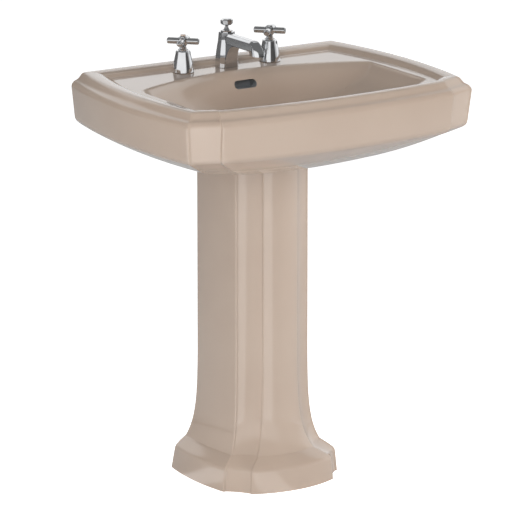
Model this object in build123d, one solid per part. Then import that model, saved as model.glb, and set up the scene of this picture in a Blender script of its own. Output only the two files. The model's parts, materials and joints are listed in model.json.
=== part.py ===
from build123d import *
from collections import namedtuple
import math
import os

# Pedestal sink with a widespread two-handle faucet and a pop-up drain.
# Millimetres. +Z is up, the front faces -Y, the wall is at +Y, and z = 0 is the floor.

# Overall sizes
basin_width = 693.0
basin_depth = 505.0
rim_height = 822.0
basin_height = 177.0
tap_spacing = 101.6
tap_from_wall = 73.2
drain_from_wall = 212.5

# Basin, seen from above: bowed sides, bowed front panel, stepped corner panels
back_corner_in = 30.5
side_corner_in = 18.9
front_panel = 531.0
front_bow = 21.5
corner_run = 27.0
corner_step = 6.0

# Basin, seen from the side
apron_height = 73.0
apron_draft = 8.0
rim_rise = 25.0
deck_drop = 11.0
belly_bulge = 15.0
neck_overhang = 10.0
china_wall = 13.0
deck_wall = 14.0
crest_in = 27.0
crest_back = 8.0
well_in = 50.0
well_back = 33.0
well_front = 36.0
well_cove = 9.0

# Bowl
bowl_half = 267.0
bowl_back_from_wall = 114.5
bowl_front_from_front = 46.5
bowl_back_bow = 68.0
bowl_front_bow = 8.0
bowl_cut_x = 100.0
bowl_cut_y = 58.0
bowl_depth = 116.0
bowl_floor_margin = 8.5
bowl_floor_back_margin = 4.5
floor_wall = 16.0
overflow_width = 51.5
overflow_height = 15.6
overflow_drop = 23.8
overflow_depth = 14.0
overflow_rib = 10.0
overflow_floor_top = 5.6
overflow_floor_low = 12.0

# Holes in the china
tap_hole_r = 15.9
drain_hole_r = 22.5
hanger_spacing = 406.4
hanger_hole_r = 6.0
hanger_drop = 62.0
access_half = 122.0
access_drop = 40.0

# Pedestal
shaft_half = 84.5
shaft_bow = 4.5
shaft_front_half = 40.5
shaft_front_y = -19.5
shaft_side_y = 11.0
shaft_back_y = 157.0
ledge_half = 110.0
ledge_back_half = 113.5
ledge_bow = 6.5
ledge_front_half = 68.0
ledge_front_y = -44.0
ledge_side_y = -7.0
ledge_back_y = 164.0
ledge_height = 64.5
ledge_lip = 3.0
ledge_lip_rise = 1.0
flare_decay = 42.0
base_half = 135.5
base_bow = 10.0
base_front_half = 97.0
base_front_y = -66.0
base_side_y = -22.0
base_back_y = 176.5
shaft_front_bow = 9.5
ledge_front_bow = 17.0
base_front_bow = 22.5
pedestal_step = 5.0
plinth_height = 46.5
plinth_splay = 4.5
plinth_back_splay = 7.0
ogee_share = 0.45
pedestal_wall = 14.0
foot_flange = 52.0
foot_thick = 14.0
foot_bolt_spacing = 224.0
foot_bolt_r = 5.0
foot_bolt_y = 90.0
foot_back_y = 150.0

# Valves and handles
gasket_thick = 0.6
gasket_in = 1.2
bell_base_r = 22.1
bell_top_r = 14.6
bell_height = 43.5
bell_turn = 22.5
bell_step_r = 10.0
bell_step = 3.5
bell_neck_r = 7.3
bell_wall_gap = 0.6
stem_r = 4.95
shank_r = 13.0
shank_drop = 58.0
collar_r = 18.4
collar_thick = 4.0
valve_top_r = 10.4
valve_top_h = 30.0
bonnet_h = 5.5
inlet_r = 10.45
inlet_length = 28.0
inlet_wall = 3.0
outlet_r = 8.0
outlet_reach = 26.0
outlet_drop = 47.0
tube_r = 4.76
tube_wall = 0.9
tube_seat = 8.0
tube_nut_flats = 19.0
tube_nut_long = 10.0
handle_h = 62.5
hub_r = 10.4
hub_half = 8.0
arm_r = 6.6
arm_reach = 32.2
arm_round = 2.2
cap_r = 7.0
cap_thick = 2.4
cap_edge = 1.2
screw_r = 2.0
screw_head_r = 4.0
screw_head = 3.0
washer_r = 23.0
washer_thick = 2.0
mount_nut_flats = 38.0
mount_nut_thick = 8.0

# Spout and lift rod
spout_base_r = 23.3
spout_top_r = 16.0
spout_height = 70.5
spout_step_r = 11.7
spout_step = 3.0
spout_cone = 4.5
spout_cone_r = 7.2
spout_cone_top_r = 4.6
arm_width = 22.0
arm_top = 68.5
arm_thick = 20.5
arm_bevel = 4.5
spout_reach = 111.0
nozzle_half = 9.8
nozzle_drop = 4.5
nozzle_droop = 5.0
nozzle_bevel = 4.0
arch_back = 17.0
arch_run = 26.0
arch_foot = 2.0
arch_flare = 4.5
aerator_r = 7.4
aerator_depth = 8.0
aerator_wall = 1.6
aerator_bar = 1.0
spout_shank_r = 14.0
spout_socket = 10.0
tee_half = 17.0
tee_reach = 34.0
lift_rod_r = 2.5
lift_travel = 32.0
knob_r = 12.4
knob_height = 12.0
knob_neck = 6.5
knob_waist_r = 3.3
knob_edge = 2.4
clevis_size = 12.0
strap_thick = 1.6
strap_tail = 14.0
strap_holes = 5
strap_hole_pitch = 12.0
clip_thick = 0.8
clip_half = 4.0
clip_width = 8.4
clip_below = 2.0
screw_out = 2.0

# Drain
flange_r = 31.5
flange_thick = 3.5
flange_bore_r = 13.5
body_r = 18.0
body_bore_r = 15.0
body_length = 98.0
tail_r = 15.875
tail_wall = 1.2
tail_length = 100.0
tail_seat = 20.0
tail_spigot_r = 15.5
drain_gasket_r = 28.0
drain_gasket_thick = 10.0
drain_nut_flats = 54.0
drain_nut_thick = 10.0
pivot_drop = 65.0
ball_offset = 25.0
ball_r = 7.92
port_r = 11.0
port_reach = 34.0
pivot_nut_r = 15.0
pivot_nut_long = 10.8
pivot_nut_grip = 7.2
pivot_rod_r = 2.4
pivot_tail = 16.0
pivot_tip = 5.0
stopper_r = 18.5
stopper_dome = 4.0
stopper_stem_r = 4.5
vane_thick = 2.0
flange_lip = 2.0
seal_r = 1.6

# Clearances
running = 0.05
thread_fit = 0.03
hairline = 0.3
loose = 0.8
cut_over = 1.0

# Places that follow from the sizes
wall_y = basin_depth / 2
pedestal_height = rim_height - basin_height
tap_y = wall_y - tap_from_wall
drain_y = wall_y - drain_from_wall
deck_z = rim_height - deck_drop
apron_top_z = rim_height - rim_rise
apron_bottom_z = apron_top_z - apron_height
seat_z = deck_z + gasket_thick
under_deck_z = deck_z - deck_wall
shank_bottom_z = deck_z - shank_drop - deck_wall
outlet_z = deck_z - outlet_drop - deck_wall
floor_z = deck_z - bowl_depth
bowl_floor_side_in = bowl_half - flange_r - bowl_floor_margin
bowl_floor_back_in = wall_y - bowl_back_from_wall - drain_y - flange_r - bowl_floor_back_margin
bowl_floor_front_in = wall_y - bowl_front_from_front + drain_y - flange_r - bowl_floor_margin
under_floor_z = floor_z - floor_wall
pivot_z = floor_z - pivot_drop
ball_y = drain_y + ball_offset
outer_arm = tap_y - ball_y
swing = math.degrees(lift_travel / outer_arm)
stopper_drop = lift_travel * ball_offset / outer_arm

BOTTOM = (Align.CENTER, Align.CENTER, Align.MIN)
Plan = namedtuple("Plan", "back_y back_w mid_w side_w side_y front_w front_y apex_y step")


# Plans: the notched outline that the basin and the pedestal share

def side_arc(plan):
    middle_y = (plan.back_y + plan.side_y) / 2
    return ThreePointArc((plan.back_w, plan.back_y), (plan.mid_w, middle_y), (plan.side_w, plan.side_y))


def front_arc(plan):
    return ThreePointArc((plan.front_w, plan.front_y), (0, plan.apex_y), (-plan.front_w, plan.front_y))


def plan_face(plan, z):
    corner = [
        (plan.side_w, plan.side_y),
        (plan.side_w - plan.step, plan.side_y),
        (plan.front_w, plan.front_y + plan.step),
        (plan.front_w, plan.front_y),
    ]
    right = [side_arc(plan)] + [Line(a, b) for a, b in zip(corner, corner[1:])]
    left = [mirror(edge, about=Plane.YZ) for edge in right]
    back = Line((-plan.back_w, plan.back_y), (plan.back_w, plan.back_y))
    return Pos(0, 0, z) * make_face([back, front_arc(plan)] + right + left)


def outward(tangent):
    return Vector(-tangent.Y, tangent.X, 0)


def mitre(one, two):
    return (one + two) * (-1 / (1 + one.dot(two)))


def inset(plan, by, back=0.0):
    corner_line = Vector(plan.front_w - plan.side_w + plan.step, plan.front_y + plan.step - plan.side_y, 0)
    corner_normal = outward(corner_line.normalized())
    side_shift = mitre(outward(side_arc(plan) % 1), corner_normal) * by
    front_shift = mitre(corner_normal, outward(front_arc(plan) % 0)) * by
    return plan._replace(
        back_y=plan.back_y - back,
        back_w=plan.back_w - by,
        mid_w=plan.mid_w - by,
        side_w=plan.side_w + side_shift.X,
        side_y=plan.side_y + side_shift.Y,
        front_w=plan.front_w + front_shift.X,
        front_y=plan.front_y + front_shift.Y,
        apex_y=plan.apex_y + by,
    )


def blend(one, two, share):
    return Plan(*[a + (b - a) * share for a, b in zip(one, two)])


def stack(levels):
    return loft([plan_face(plan, z) for plan, z in levels], ruled=True)


apron_plan = Plan(
    back_y=wall_y,
    back_w=basin_width / 2 - back_corner_in,
    mid_w=basin_width / 2,
    side_w=basin_width / 2 - side_corner_in,
    side_y=-wall_y + front_bow + corner_run,
    front_w=front_panel / 2,
    front_y=-wall_y + front_bow,
    apex_y=-wall_y,
    step=corner_step,
)
shaft_plan = Plan(
    shaft_back_y, shaft_half, shaft_half + shaft_bow, shaft_half, shaft_side_y,
    shaft_front_half, shaft_front_y, shaft_front_y - shaft_front_bow, pedestal_step,
)
ledge_plan = Plan(
    ledge_back_y, ledge_back_half, (ledge_back_half + ledge_half) / 2 + ledge_bow, ledge_half, ledge_side_y,
    ledge_front_half, ledge_front_y, ledge_front_y - ledge_front_bow, pedestal_step,
)
base_plan = Plan(
    base_back_y, base_half, base_half + base_bow, base_half, base_side_y,
    base_front_half, base_front_y, base_front_y - base_front_bow, pedestal_step,
)
neck_plan = inset(shaft_plan, -neck_overhang, -neck_overhang)


# Small shapes

def disc(radius, z0, z1, x=0.0, y=0.0):
    return Pos(x, y, z0) * Cylinder(radius, z1 - z0, align=BOTTOM)


def ring(outer_r, inner_r, z0, z1, x=0.0, y=0.0):
    return disc(outer_r, z0, z1, x, y) - disc(inner_r, z0 - cut_over, z1 + cut_over, x, y)


def hex_nut(flats, bore_r, z0, z1, x=0.0, y=0.0):
    prism = extrude(RegularPolygon(flats / 2, 6, major_radius=False), z1 - z0)
    return Pos(x, y, z0) * prism - disc(bore_r, z0 - cut_over, z1 + cut_over, x, y)


def octagon(radius, z):
    return Pos(0, 0, z) * RegularPolygon(radius, 8, rotation=22.5)


def octagon_stack(levels):
    return loft([octagon(radius, z) for radius, z in levels], ruled=True)


def turned(points, x=0.0, y=0.0):
    profile = make_face(Polyline(*points, close=True))
    return Pos(x, y, 0) * revolve(Plane.XZ * profile, Axis.Z)


def rod_along_y(radius, y0, y1, z, x=0.0):
    return Pos(x, y0, z) * Rot(-90, 0, 0) * Cylinder(radius, y1 - y0, align=BOTTOM)


def rod_along_x(radius, x0, x1, y, z):
    return Pos(x0, y, z) * Rot(0, 90, 0) * Cylinder(radius, x1 - x0, align=BOTTOM)


# Basin

def bowl_face(z, side_in, back_in, front_in, grow):
    half = bowl_half - side_in + grow
    share = half / bowl_half
    back_y = wall_y - bowl_back_from_wall - back_in + grow
    front_y = -wall_y + bowl_front_from_front + front_in - grow
    back_bow = min(bowl_back_bow * share, (back_y - front_y) / 3)
    corner_y = front_y + bowl_front_bow * share
    back = (half, back_y - back_bow)
    side = (half, corner_y + bowl_cut_y * share)
    front = (half - bowl_cut_x * share, corner_y)
    flip = [(-x, y) for x, y in (back, side, front)]
    edges = [
        ThreePointArc(flip[0], (0, back_y), back),
        Line(back, side),
        Line(side, front),
        ThreePointArc(front, (0, front_y), flip[2]),
        Line(flip[2], flip[1]),
        Line(flip[1], flip[0]),
    ]
    return Pos(0, 0, z) * make_face(edges)


# Share of the depth, then the shares of the inset at the sides, back and front
bowl_profile = [
    (0.0, 0.0, 0.0, 0.0),
    (0.04, 0.02, 0.16, 0.02),
    (0.10, 0.07, 0.34, 0.055),
    (0.245, 0.163, 0.51, 0.13),
    (0.39, 0.31, 0.59, 0.27),
    (0.49, 0.445, 0.64, 0.41),
    (0.62, 0.617, 0.71, 0.59),
    (0.76, 0.784, 0.81, 0.77),
    (0.89, 0.912, 0.90, 0.91),
    (1.0, 1.0, 1.0, 1.0),
]


def bowl_solid(depth, grow):
    faces = [bowl_face(rim_height - cut_over, 0, 0, 0, grow)]
    for down, side, back, front in bowl_profile:
        insets = (side * bowl_floor_side_in, back * bowl_floor_back_in, front * bowl_floor_front_in)
        faces.append(bowl_face(deck_z - down * depth, *insets, grow))
    return loft(faces, ruled=True)


def bowl_back_y(drop):
    # The bowl's back wall on the centre plane, at a drop below the deck
    down = drop / bowl_depth
    for low, high in zip(bowl_profile, bowl_profile[1:]):
        if down <= high[0]:
            share = low[2] + (high[2] - low[2]) * (down - low[0]) / (high[0] - low[0])
            return wall_y - bowl_back_from_wall - share * bowl_floor_back_in
    return wall_y - bowl_back_from_wall - bowl_floor_back_in


# Shares of the bowl's depth where the passage bends
overflow_downs = (0.245, 0.39, 0.62, 0.86)


def overflow_passage(deep, spread, half_width):
    # A passage behind the bowl's back wall, from the overflow slot down to the drain hole
    drops = [overflow_drop - overflow_height / 2 - spread] + [down * bowl_depth for down in overflow_downs]
    front = [(bowl_back_y(drop) + china_wall - spread, deck_z - drop) for drop in drops]
    back = [(y + deep + 2 * spread, z) for y, z in front]
    foot_top = floor_z - overflow_floor_top + spread
    foot_low = floor_z - overflow_floor_low
    mouth_y = drain_y + drain_hole_r - cut_over
    foot = [(front[-1][0], foot_top), (mouth_y, foot_top), (mouth_y, foot_low), (back[-1][0], foot_low)]
    outline = Plane.YZ * make_face(Polyline(*(front + foot + back[::-1]), close=True))
    return extrude(outline, half_width, both=True)


# Shares of the rim's rise, of its inset at the sides and of its inset at the back
rim_profile = [(0.28, 0.18, 0.25), (0.44, 0.48, 0.5), (0.88, 0.82, 0.8), (1.0, 1.0, 1.0)]
belly_shares = (0.15, 0.35, 0.55, 0.75, 0.9)


def belly_z(share):
    # A shallow sag below the straight line from the neck to the apron's lower edge
    straight = pedestal_height + (apron_bottom_z - pedestal_height) * share
    return straight - 4 * belly_bulge * share * (1 - share)


def basin_outside():
    # The back runs past the wall and is trimmed there, so that it ends in one plane
    apron_top = apron_plan._replace(back_y=wall_y + cut_over)
    apron_bottom = inset(apron_top, apron_draft)
    levels = [(neck_plan, pedestal_height)]
    levels += [(blend(neck_plan, apron_bottom, share), belly_z(share)) for share in belly_shares]
    levels += [(apron_bottom, apron_bottom_z), (apron_top, apron_top_z)]
    for rise, side, back in rim_profile:
        levels.append((inset(apron_plan, crest_in * side, crest_back * back), apron_top_z + rim_rise * rise))
    beyond = Pos(0, wall_y, 0) * Box(
        2 * basin_width, basin_depth, 3 * rim_height, align=(Align.CENTER, Align.MIN, Align.CENTER)
    )
    return stack(levels) - beyond


def basin_hollow():
    inner_neck = inset(neck_plan, china_wall, china_wall)
    inner_bottom = inset(apron_plan, apron_draft + china_wall, china_wall)
    levels = [(inner_neck, pedestal_height - cut_over)]
    for share in belly_shares:
        levels.append((blend(inner_neck, inner_bottom, share), belly_z(share) + china_wall))
    levels.append((inner_bottom, apron_bottom_z + china_wall))
    levels.append((inset(apron_plan, china_wall, china_wall), under_deck_z))
    shell = bowl_solid(bowl_depth + floor_wall, china_wall)
    rib = overflow_passage(overflow_depth, overflow_rib, overflow_width / 2 + overflow_rib)
    return stack(levels) - shell - rib


def basin_well():
    # The sunk deck inside the rim's crest, nearer to the crest at the front than at the sides
    front_keep = well_in - well_front
    foot_keep = front_keep + well_cove / 2
    well_top = inset(apron_plan, well_in, well_back)
    well_top = well_top._replace(front_y=well_top.front_y - front_keep, apex_y=well_top.apex_y - front_keep)
    well_foot = inset(apron_plan, well_in + well_cove, well_back + well_cove)
    well_foot = well_foot._replace(
        front_y=well_foot.front_y - foot_keep, apex_y=well_foot.apex_y - foot_keep
    )
    return stack([(well_foot, deck_z), (well_top, rim_height - cut_over), (well_top, rim_height + cut_over)])


def basin():
    slot = Pos(0, 0, deck_z - overflow_drop) * Plane.XZ * SlotOverall(overflow_width, overflow_height)
    slot_reach = bowl_back_y(overflow_drop) + china_wall + overflow_depth / 2
    holes = [disc(tap_hole_r, under_deck_z - cut_over, deck_z + cut_over, x, tap_y) for x in tap_places]
    holes.append(disc(drain_hole_r, under_floor_z - cut_over, floor_z + cut_over, 0, drain_y))
    holes.append(disc(flange_r + hairline, floor_z - flange_thick / 2, floor_z + cut_over, 0, drain_y))
    hanger_z = deck_z - hanger_drop
    for x in (-hanger_spacing / 2, hanger_spacing / 2):
        holes.append(rod_along_y(hanger_hole_r, wall_y - 2 * china_wall, wall_y + cut_over, hanger_z, x))
    access_top = deck_z - access_drop
    access_low = pedestal_height - cut_over
    access_front = shaft_back_y - neck_overhang
    access = Pos(0, access_front, access_low) * Box(
        2 * access_half, wall_y - access_front + cut_over, access_top - access_low,
        align=(Align.CENTER, Align.MIN, Align.MIN),
    )
    body = basin_outside() - basin_well() - bowl_solid(bowl_depth, 0.0) - basin_hollow()
    body = body - overflow_passage(overflow_depth, 0.0, overflow_width / 2)
    body = body - Pos(0, slot_reach, 0) * extrude(slot, 3 * china_wall)
    return body - holes - access


tap_places = (-tap_spacing, 0.0, tap_spacing)


# Pedestal

# Heights above the ledge, in shares of the flare's decay length
flare_rises = (0, 0.24, 0.56, 1.0, 1.6, 2.6, 4.0)
flare_z = ledge_height + ledge_lip_rise


def flare_plan(rise):
    return blend(shaft_plan, inset(ledge_plan, ledge_lip), math.exp(-rise))


def pedestal_levels():
    plinth_top = inset(base_plan, plinth_splay, plinth_back_splay)
    ogee_z = (plinth_height + ledge_height) / 2
    levels = [(base_plan, 0), (plinth_top, plinth_height)]
    levels.append((blend(plinth_top, ledge_plan, ogee_share), ogee_z))
    levels.append((ledge_plan, ledge_height))
    levels += [(flare_plan(rise), flare_z + rise * flare_decay) for rise in flare_rises]
    return levels + [(shaft_plan, pedestal_height)]


def pedestal():
    outer = stack(pedestal_levels())
    open_back = base_back_y + cut_over
    walls = [(inset(plan, pedestal_wall)._replace(back_y=open_back), z) for plan, z in pedestal_levels()]
    first, last = walls[0], walls[-1]
    foot_room = (blend(first[0], walls[1][0], foot_thick / plinth_height), foot_thick)
    hollow = stack([foot_room] + walls[1:-1] + [last, (last[0], last[1] + cut_over)])
    foot_hole = inset(base_plan, foot_flange)._replace(back_y=open_back)
    foot_cut = stack([(foot_hole, -cut_over), (foot_hole, foot_thick + cut_over)])
    behind = Pos(0, foot_back_y, 0) * Box(
        4 * base_half, base_back_y, 4 * foot_thick, align=(Align.CENTER, Align.MIN, Align.CENTER)
    )
    foot_cut += stack([(first[0], -cut_over), (first[0], foot_thick + cut_over)]) & behind
    bolts = [disc(foot_bolt_r, -cut_over, foot_thick + cut_over, x, foot_bolt_y) for x in foot_bolts]
    return outer - hollow - foot_cut - bolts


foot_bolts = (-foot_bolt_spacing / 2, foot_bolt_spacing / 2)


# Valve and handle, the same on both sides

# Shares of the height and of the flare that is left there
bell_profile = [(0.0, 1.0), (0.2, 0.86), (0.4, 0.655), (0.6, 0.43), (0.8, 0.18), (1.0, 0.0)]
spout_profile = [
    (0.0, 1.0), (0.12, 0.98), (0.26, 0.92), (0.4, 0.79), (0.52, 0.62), (0.64, 0.42), (0.76, 0.22),
    (0.88, 0.09), (1.0, 0.0),
]


def flared(profile, foot, top, foot_r, top_r):
    return octagon_stack([(top_r + (foot_r - top_r) * out, foot + (top - foot) * up) for up, out in profile])


def bell(x):
    foot = seat_z
    outer = flared(bell_profile, foot, deck_z + bell_height, bell_base_r, bell_top_r)
    top = deck_z + bell_height
    outer += octagon_stack([(bell_step_r, top), (bell_step_r, top + bell_step)])
    outer += disc(bell_neck_r, top + bell_step, top + 2 * bell_step)
    outer -= disc(collar_r + running, foot - cut_over, seat_z + collar_thick + hairline)
    room_top = deck_z + valve_top_h + bonnet_h + hairline
    outer -= disc(valve_top_r + 2 * bell_wall_gap, foot - cut_over, room_top)
    outer -= disc(stem_r + hairline, foot, top + 2 * bell_step + cut_over)
    return Pos(x, tap_y, 0) * Rot(0, 0, bell_turn) * outer


def bell_gasket(x):
    rim = bell_base_r * math.cos(math.pi / 8) - gasket_in
    return ring(rim, shank_r + hairline, deck_z, seat_z, x, tap_y)


def valve_collar(x):
    return ring(collar_r, shank_r + thread_fit, seat_z, seat_z + collar_thick, x, tap_y)


def valve_body(x):
    side = -1 if x > 0 else 1
    body = disc(shank_r, shank_bottom_z, seat_z + collar_thick)
    body += disc(valve_top_r, seat_z + collar_thick, deck_z + valve_top_h)
    body += disc(inlet_r, shank_bottom_z - inlet_length, shank_bottom_z)
    reach = side * outlet_reach
    body += rod_along_x(outlet_r, min(0, reach), max(0, reach), 0, outlet_z)
    body -= disc(stem_r + running, seat_z + collar_thick, deck_z + valve_top_h + cut_over)
    body -= disc(inlet_r - inlet_wall, shank_bottom_z - inlet_length - cut_over, shank_bottom_z)
    seat = side * (outlet_reach - tube_seat)
    end = side * (outlet_reach + cut_over)
    body -= rod_along_x(tube_r + thread_fit, min(seat, end), max(seat, end), 0, outlet_z)
    return Pos(x, tap_y, 0) * body


def bonnet_nut(x):
    base = deck_z + valve_top_h
    return hex_nut(2 * valve_top_r * math.cos(math.pi / 6), stem_r + running, base, base + bonnet_h, x, tap_y)


def valve_stem(x):
    top = deck_z + handle_h
    stem = disc(stem_r, seat_z + collar_thick + hairline, top)
    stem -= disc(screw_r + thread_fit, top - hub_half, top + cut_over)
    return Pos(x, tap_y, 0) * stem


def mount_washer(x, hole_r):
    return ring(washer_r, hole_r, under_deck_z - washer_thick, under_deck_z, x, tap_y)


def mount_nut(x, hole_r):
    top = under_deck_z - washer_thick
    return hex_nut(mount_nut_flats, hole_r, top - mount_nut_thick, top, x, tap_y)


# Shares of the neck's radius and step, then of the hub's radius and half height
hub_foot = [(0.78, 0.0), (0.9, 0.6)]
hub_profile = [(0.9, -0.7), (1.0, -0.4), (1.0, 0.5), (0.82, 1.0)]


def handle(x):
    low = deck_z + bell_height + 2 * bell_step + hairline
    middle = deck_z + handle_h
    hub = turned(
        [(0, low)]
        + [(bell_neck_r * out, low + bell_step * up) for out, up in hub_foot]
        + [(hub_r * out, middle + hub_half * up) for out, up in hub_profile]
        + [(0, middle + hub_half)]
    )
    bar = extrude(RegularPolygon(arm_r, 8, rotation=22.5), arm_reach - arm_round)
    tip = loft([
        Pos(0, 0, arm_reach - arm_round) * RegularPolygon(arm_r, 8, rotation=22.5),
        Pos(0, 0, arm_reach) * RegularPolygon(arm_r - arm_round, 8, rotation=22.5),
    ])
    arm = Rot(0, 90, 0) * (bar + tip)
    cross = hub
    for quarter in range(4):
        cross += Pos(0, 0, middle) * Rot(0, 0, 45 + 90 * quarter) * arm
    cross -= disc(stem_r + thread_fit, low - cut_over, middle)
    cross -= disc(screw_r + thread_fit, middle, middle + hub_half + cut_over)
    cross -= disc(screw_head_r + running, middle + screw_head, middle + hub_half + cut_over)
    return Pos(x, tap_y, 0) * cross


def handle_screw(x):
    seat = deck_z + handle_h + screw_head
    shank = disc(screw_r, deck_z + handle_h - hub_half + hairline, seat)
    head = disc(screw_head_r, seat, seat + screw_head)
    slot = Pos(0, 0, seat + screw_head) * Box(2 * screw_head_r, screw_r / 2, screw_r)
    return Pos(x, tap_y, 0) * (shank + head - slot)


def index_cap(x):
    top = deck_z + handle_h + hub_half
    spigot = disc(screw_head_r, deck_z + handle_h + 2 * screw_head + hairline, top)
    cap = disc(cap_r, top, top + cap_thick)
    cap = chamfer(cap.edges().group_by(Axis.Z)[-1], cap_edge)
    return Pos(x, tap_y, 0) * (cap + spigot)


def crossover_tube(side):
    inner = tee_reach - tube_seat
    outer = tap_spacing - outlet_reach + tube_seat
    low, high = sorted((side * inner, side * outer))
    tube = rod_along_x(tube_r, low, high, tap_y, outlet_z)
    return tube - rod_along_x(tube_r - tube_wall, low - cut_over, high + cut_over, tap_y, outlet_z)


def crossover_nut(start, length):
    prism = extrude(RegularPolygon(tube_nut_flats / 2, 6, major_radius=False), abs(length))
    nut = prism - disc(tube_r + thread_fit, -cut_over, abs(length) + cut_over)
    return Pos(start, tap_y, outlet_z) * Rot(0, math.copysign(90, length), 0) * nut


def crossover_nuts():
    valve_end = tap_spacing - outlet_reach
    nuts = []
    for side in (-1, 1):
        nuts.append(crossover_nut(side * tee_reach, side * tube_nut_long))
        nuts.append(crossover_nut(side * valve_end, -side * tube_nut_long))
    return Compound(children=nuts)


# Spout

def under_arch(half, front):
    # The open space below the arm: a quarter ellipse from the foot up to the arm's underside
    low = deck_z + arm_top - arm_thick
    foot_z = seat_z + arch_foot
    heel = tap_y - arch_back
    centre = (heel - arch_run, foot_z)
    edges = [
        EllipticalCenterArc(centre, arch_run, low - foot_z, 0, arc_size=90),
        Line((heel - arch_run, low), (front, low)),
        Line((front, low), (front, deck_z - cut_over)),
        Line((front, deck_z - cut_over), (heel, deck_z - cut_over)),
        Line((heel, deck_z - cut_over), (heel, foot_z)),
    ]
    return extrude(Plane.YZ * make_face(edges), half, both=True)


def spout_arm():
    low = deck_z + arm_top - arm_thick
    high = deck_z + arm_top
    nose = tap_y - spout_reach
    front = nose - nozzle_half
    back = nose + nozzle_half
    outlet = low - nozzle_drop
    bulge = (front + nozzle_half * droop_bulge[0], high - arm_thick * droop_bulge[1])
    edges = [
        Line((tap_y, high), (nose + nozzle_droop, high)),
        ThreePointArc((nose + nozzle_droop, high), bulge, (front, low)),
        Line((front, low), (front, outlet)),
        Line((front, outlet), (back, outlet)),
        Line((back, outlet), (back, seat_z)),
        Line((back, seat_z), (tap_y, seat_z)),
        Line((tap_y, seat_z), (tap_y, high)),
    ]
    half = arm_width / 2
    foot_half = half + arch_flare
    side_view = extrude(Plane.YZ * make_face(edges), foot_half, both=True)
    right = [(foot_half, seat_z), (half, low), (half, high - arm_bevel), (half - arm_bevel, high)]
    front_view = Polyline(*(right + [(-x, z) for x, z in right[::-1]]), close=True)
    across = Pos(0, tap_y, 0) * extrude(Plane.XZ * make_face(front_view), spout_reach + 2 * nozzle_half)
    right = [(foot_half, tap_y), (foot_half, back)]
    right += [(half, front + nozzle_bevel), (half - nozzle_bevel, front)]
    top_view = Polyline(*(right + [(-x, y) for x, y in right[::-1]]), close=True)
    plan = Pos(0, 0, deck_z) * extrude(make_face(top_view), 2 * arm_top)
    return (side_view & across & plan) - under_arch(2 * spout_base_r, back)


# Where the nozzle's drooping front bulges: shares of its half length and of the arm's thickness
droop_bulge = (0.28, 0.36)


def spout_body():
    top = deck_z + spout_height
    step_top = top + spout_step
    column = flared(spout_profile, seat_z, top, spout_base_r, spout_top_r)
    column += octagon_stack([(spout_step_r, top), (spout_step_r, step_top)])
    column += octagon_stack([(spout_cone_r, step_top), (spout_cone_top_r, step_top + spout_cone)])
    nose = tap_y - spout_reach
    body = (Pos(0, tap_y, 0) * column - under_arch(2 * spout_base_r, nose)) + spout_arm()
    outlet_face = deck_z + arm_top - arm_thick - nozzle_drop
    body -= disc(aerator_r + running, outlet_face - cut_over, outlet_face + aerator_depth, 0, nose)
    body -= disc(lift_rod_r + running, seat_z - cut_over, step_top + spout_cone + cut_over, 0, tap_y)
    return body - disc(spout_shank_r + thread_fit, seat_z - cut_over, seat_z + spout_socket, 0, tap_y)


def aerator():
    face = deck_z + arm_top - arm_thick - nozzle_drop
    nose = tap_y - spout_reach
    shell = ring(aerator_r, aerator_r - aerator_wall, face, face + aerator_depth, 0, nose)
    across = 2 * aerator_r - aerator_wall
    bars = Box(across, aerator_bar, 2 * aerator_bar) + Box(aerator_bar, across, 2 * aerator_bar)
    return shell + Pos(0, nose, face + aerator_depth / 2) * bars


def spout_gasket():
    rim = spout_base_r * math.cos(math.pi / 8) - gasket_in
    pad = ring(rim, spout_shank_r + hairline, deck_z, seat_z, 0, tap_y)
    return pad - under_arch(2 * spout_base_r, tap_y - spout_reach)


def spout_shank():
    shank = disc(spout_shank_r, shank_bottom_z, seat_z + spout_socket)
    tee = Pos(0, 0, outlet_z) * Box(2 * tee_half, 2 * spout_shank_r, 2 * (outlet_z - shank_bottom_z))
    shank += tee + rod_along_x(outlet_r, -tee_reach, tee_reach, 0, outlet_z)
    for side in (-1, 1):
        low, high = sorted((side * (tee_reach - tube_seat), side * (tee_reach + cut_over)))
        shank -= rod_along_x(tube_r + thread_fit, low, high, 0, outlet_z)
    shank -= disc(lift_rod_r + loose, shank_bottom_z - tee_half, seat_z + spout_socket + cut_over)
    return Pos(0, tap_y, 0) * shank


# Lift rod and pop-up linkage

rod_top_z = deck_z + spout_height + spout_step + spout_cone + hairline
clevis_top_z = shank_bottom_z - lift_travel - hairline
clevis_bottom_z = clevis_top_z - clevis_size
strap_hole_z = pivot_z - outer_arm * math.sin(math.radians(swing / 2))


def lift_rod():
    return disc(lift_rod_r, clevis_bottom_z, rod_top_z + knob_neck, 0, tap_y)


def lift_knob():
    low = rod_top_z
    base = low + knob_neck
    neck = turned([
        (0, low), (spout_cone_top_r, low), (knob_waist_r, low + knob_neck / 2),
        (spout_cone_top_r, base), (0, base),
    ])
    head = octagon_stack([
        (knob_r - knob_edge, base), (knob_r, base + knob_edge), (knob_r, base + knob_height - knob_edge),
        (knob_r - knob_edge, base + knob_height),
    ])
    knob = neck + head - disc(lift_rod_r + thread_fit, low - cut_over, base)
    return Pos(0, tap_y, 0) * knob


def strap_holes_z():
    return [strap_hole_z + strap_hole_pitch * step for step in range(strap_holes)]


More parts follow.
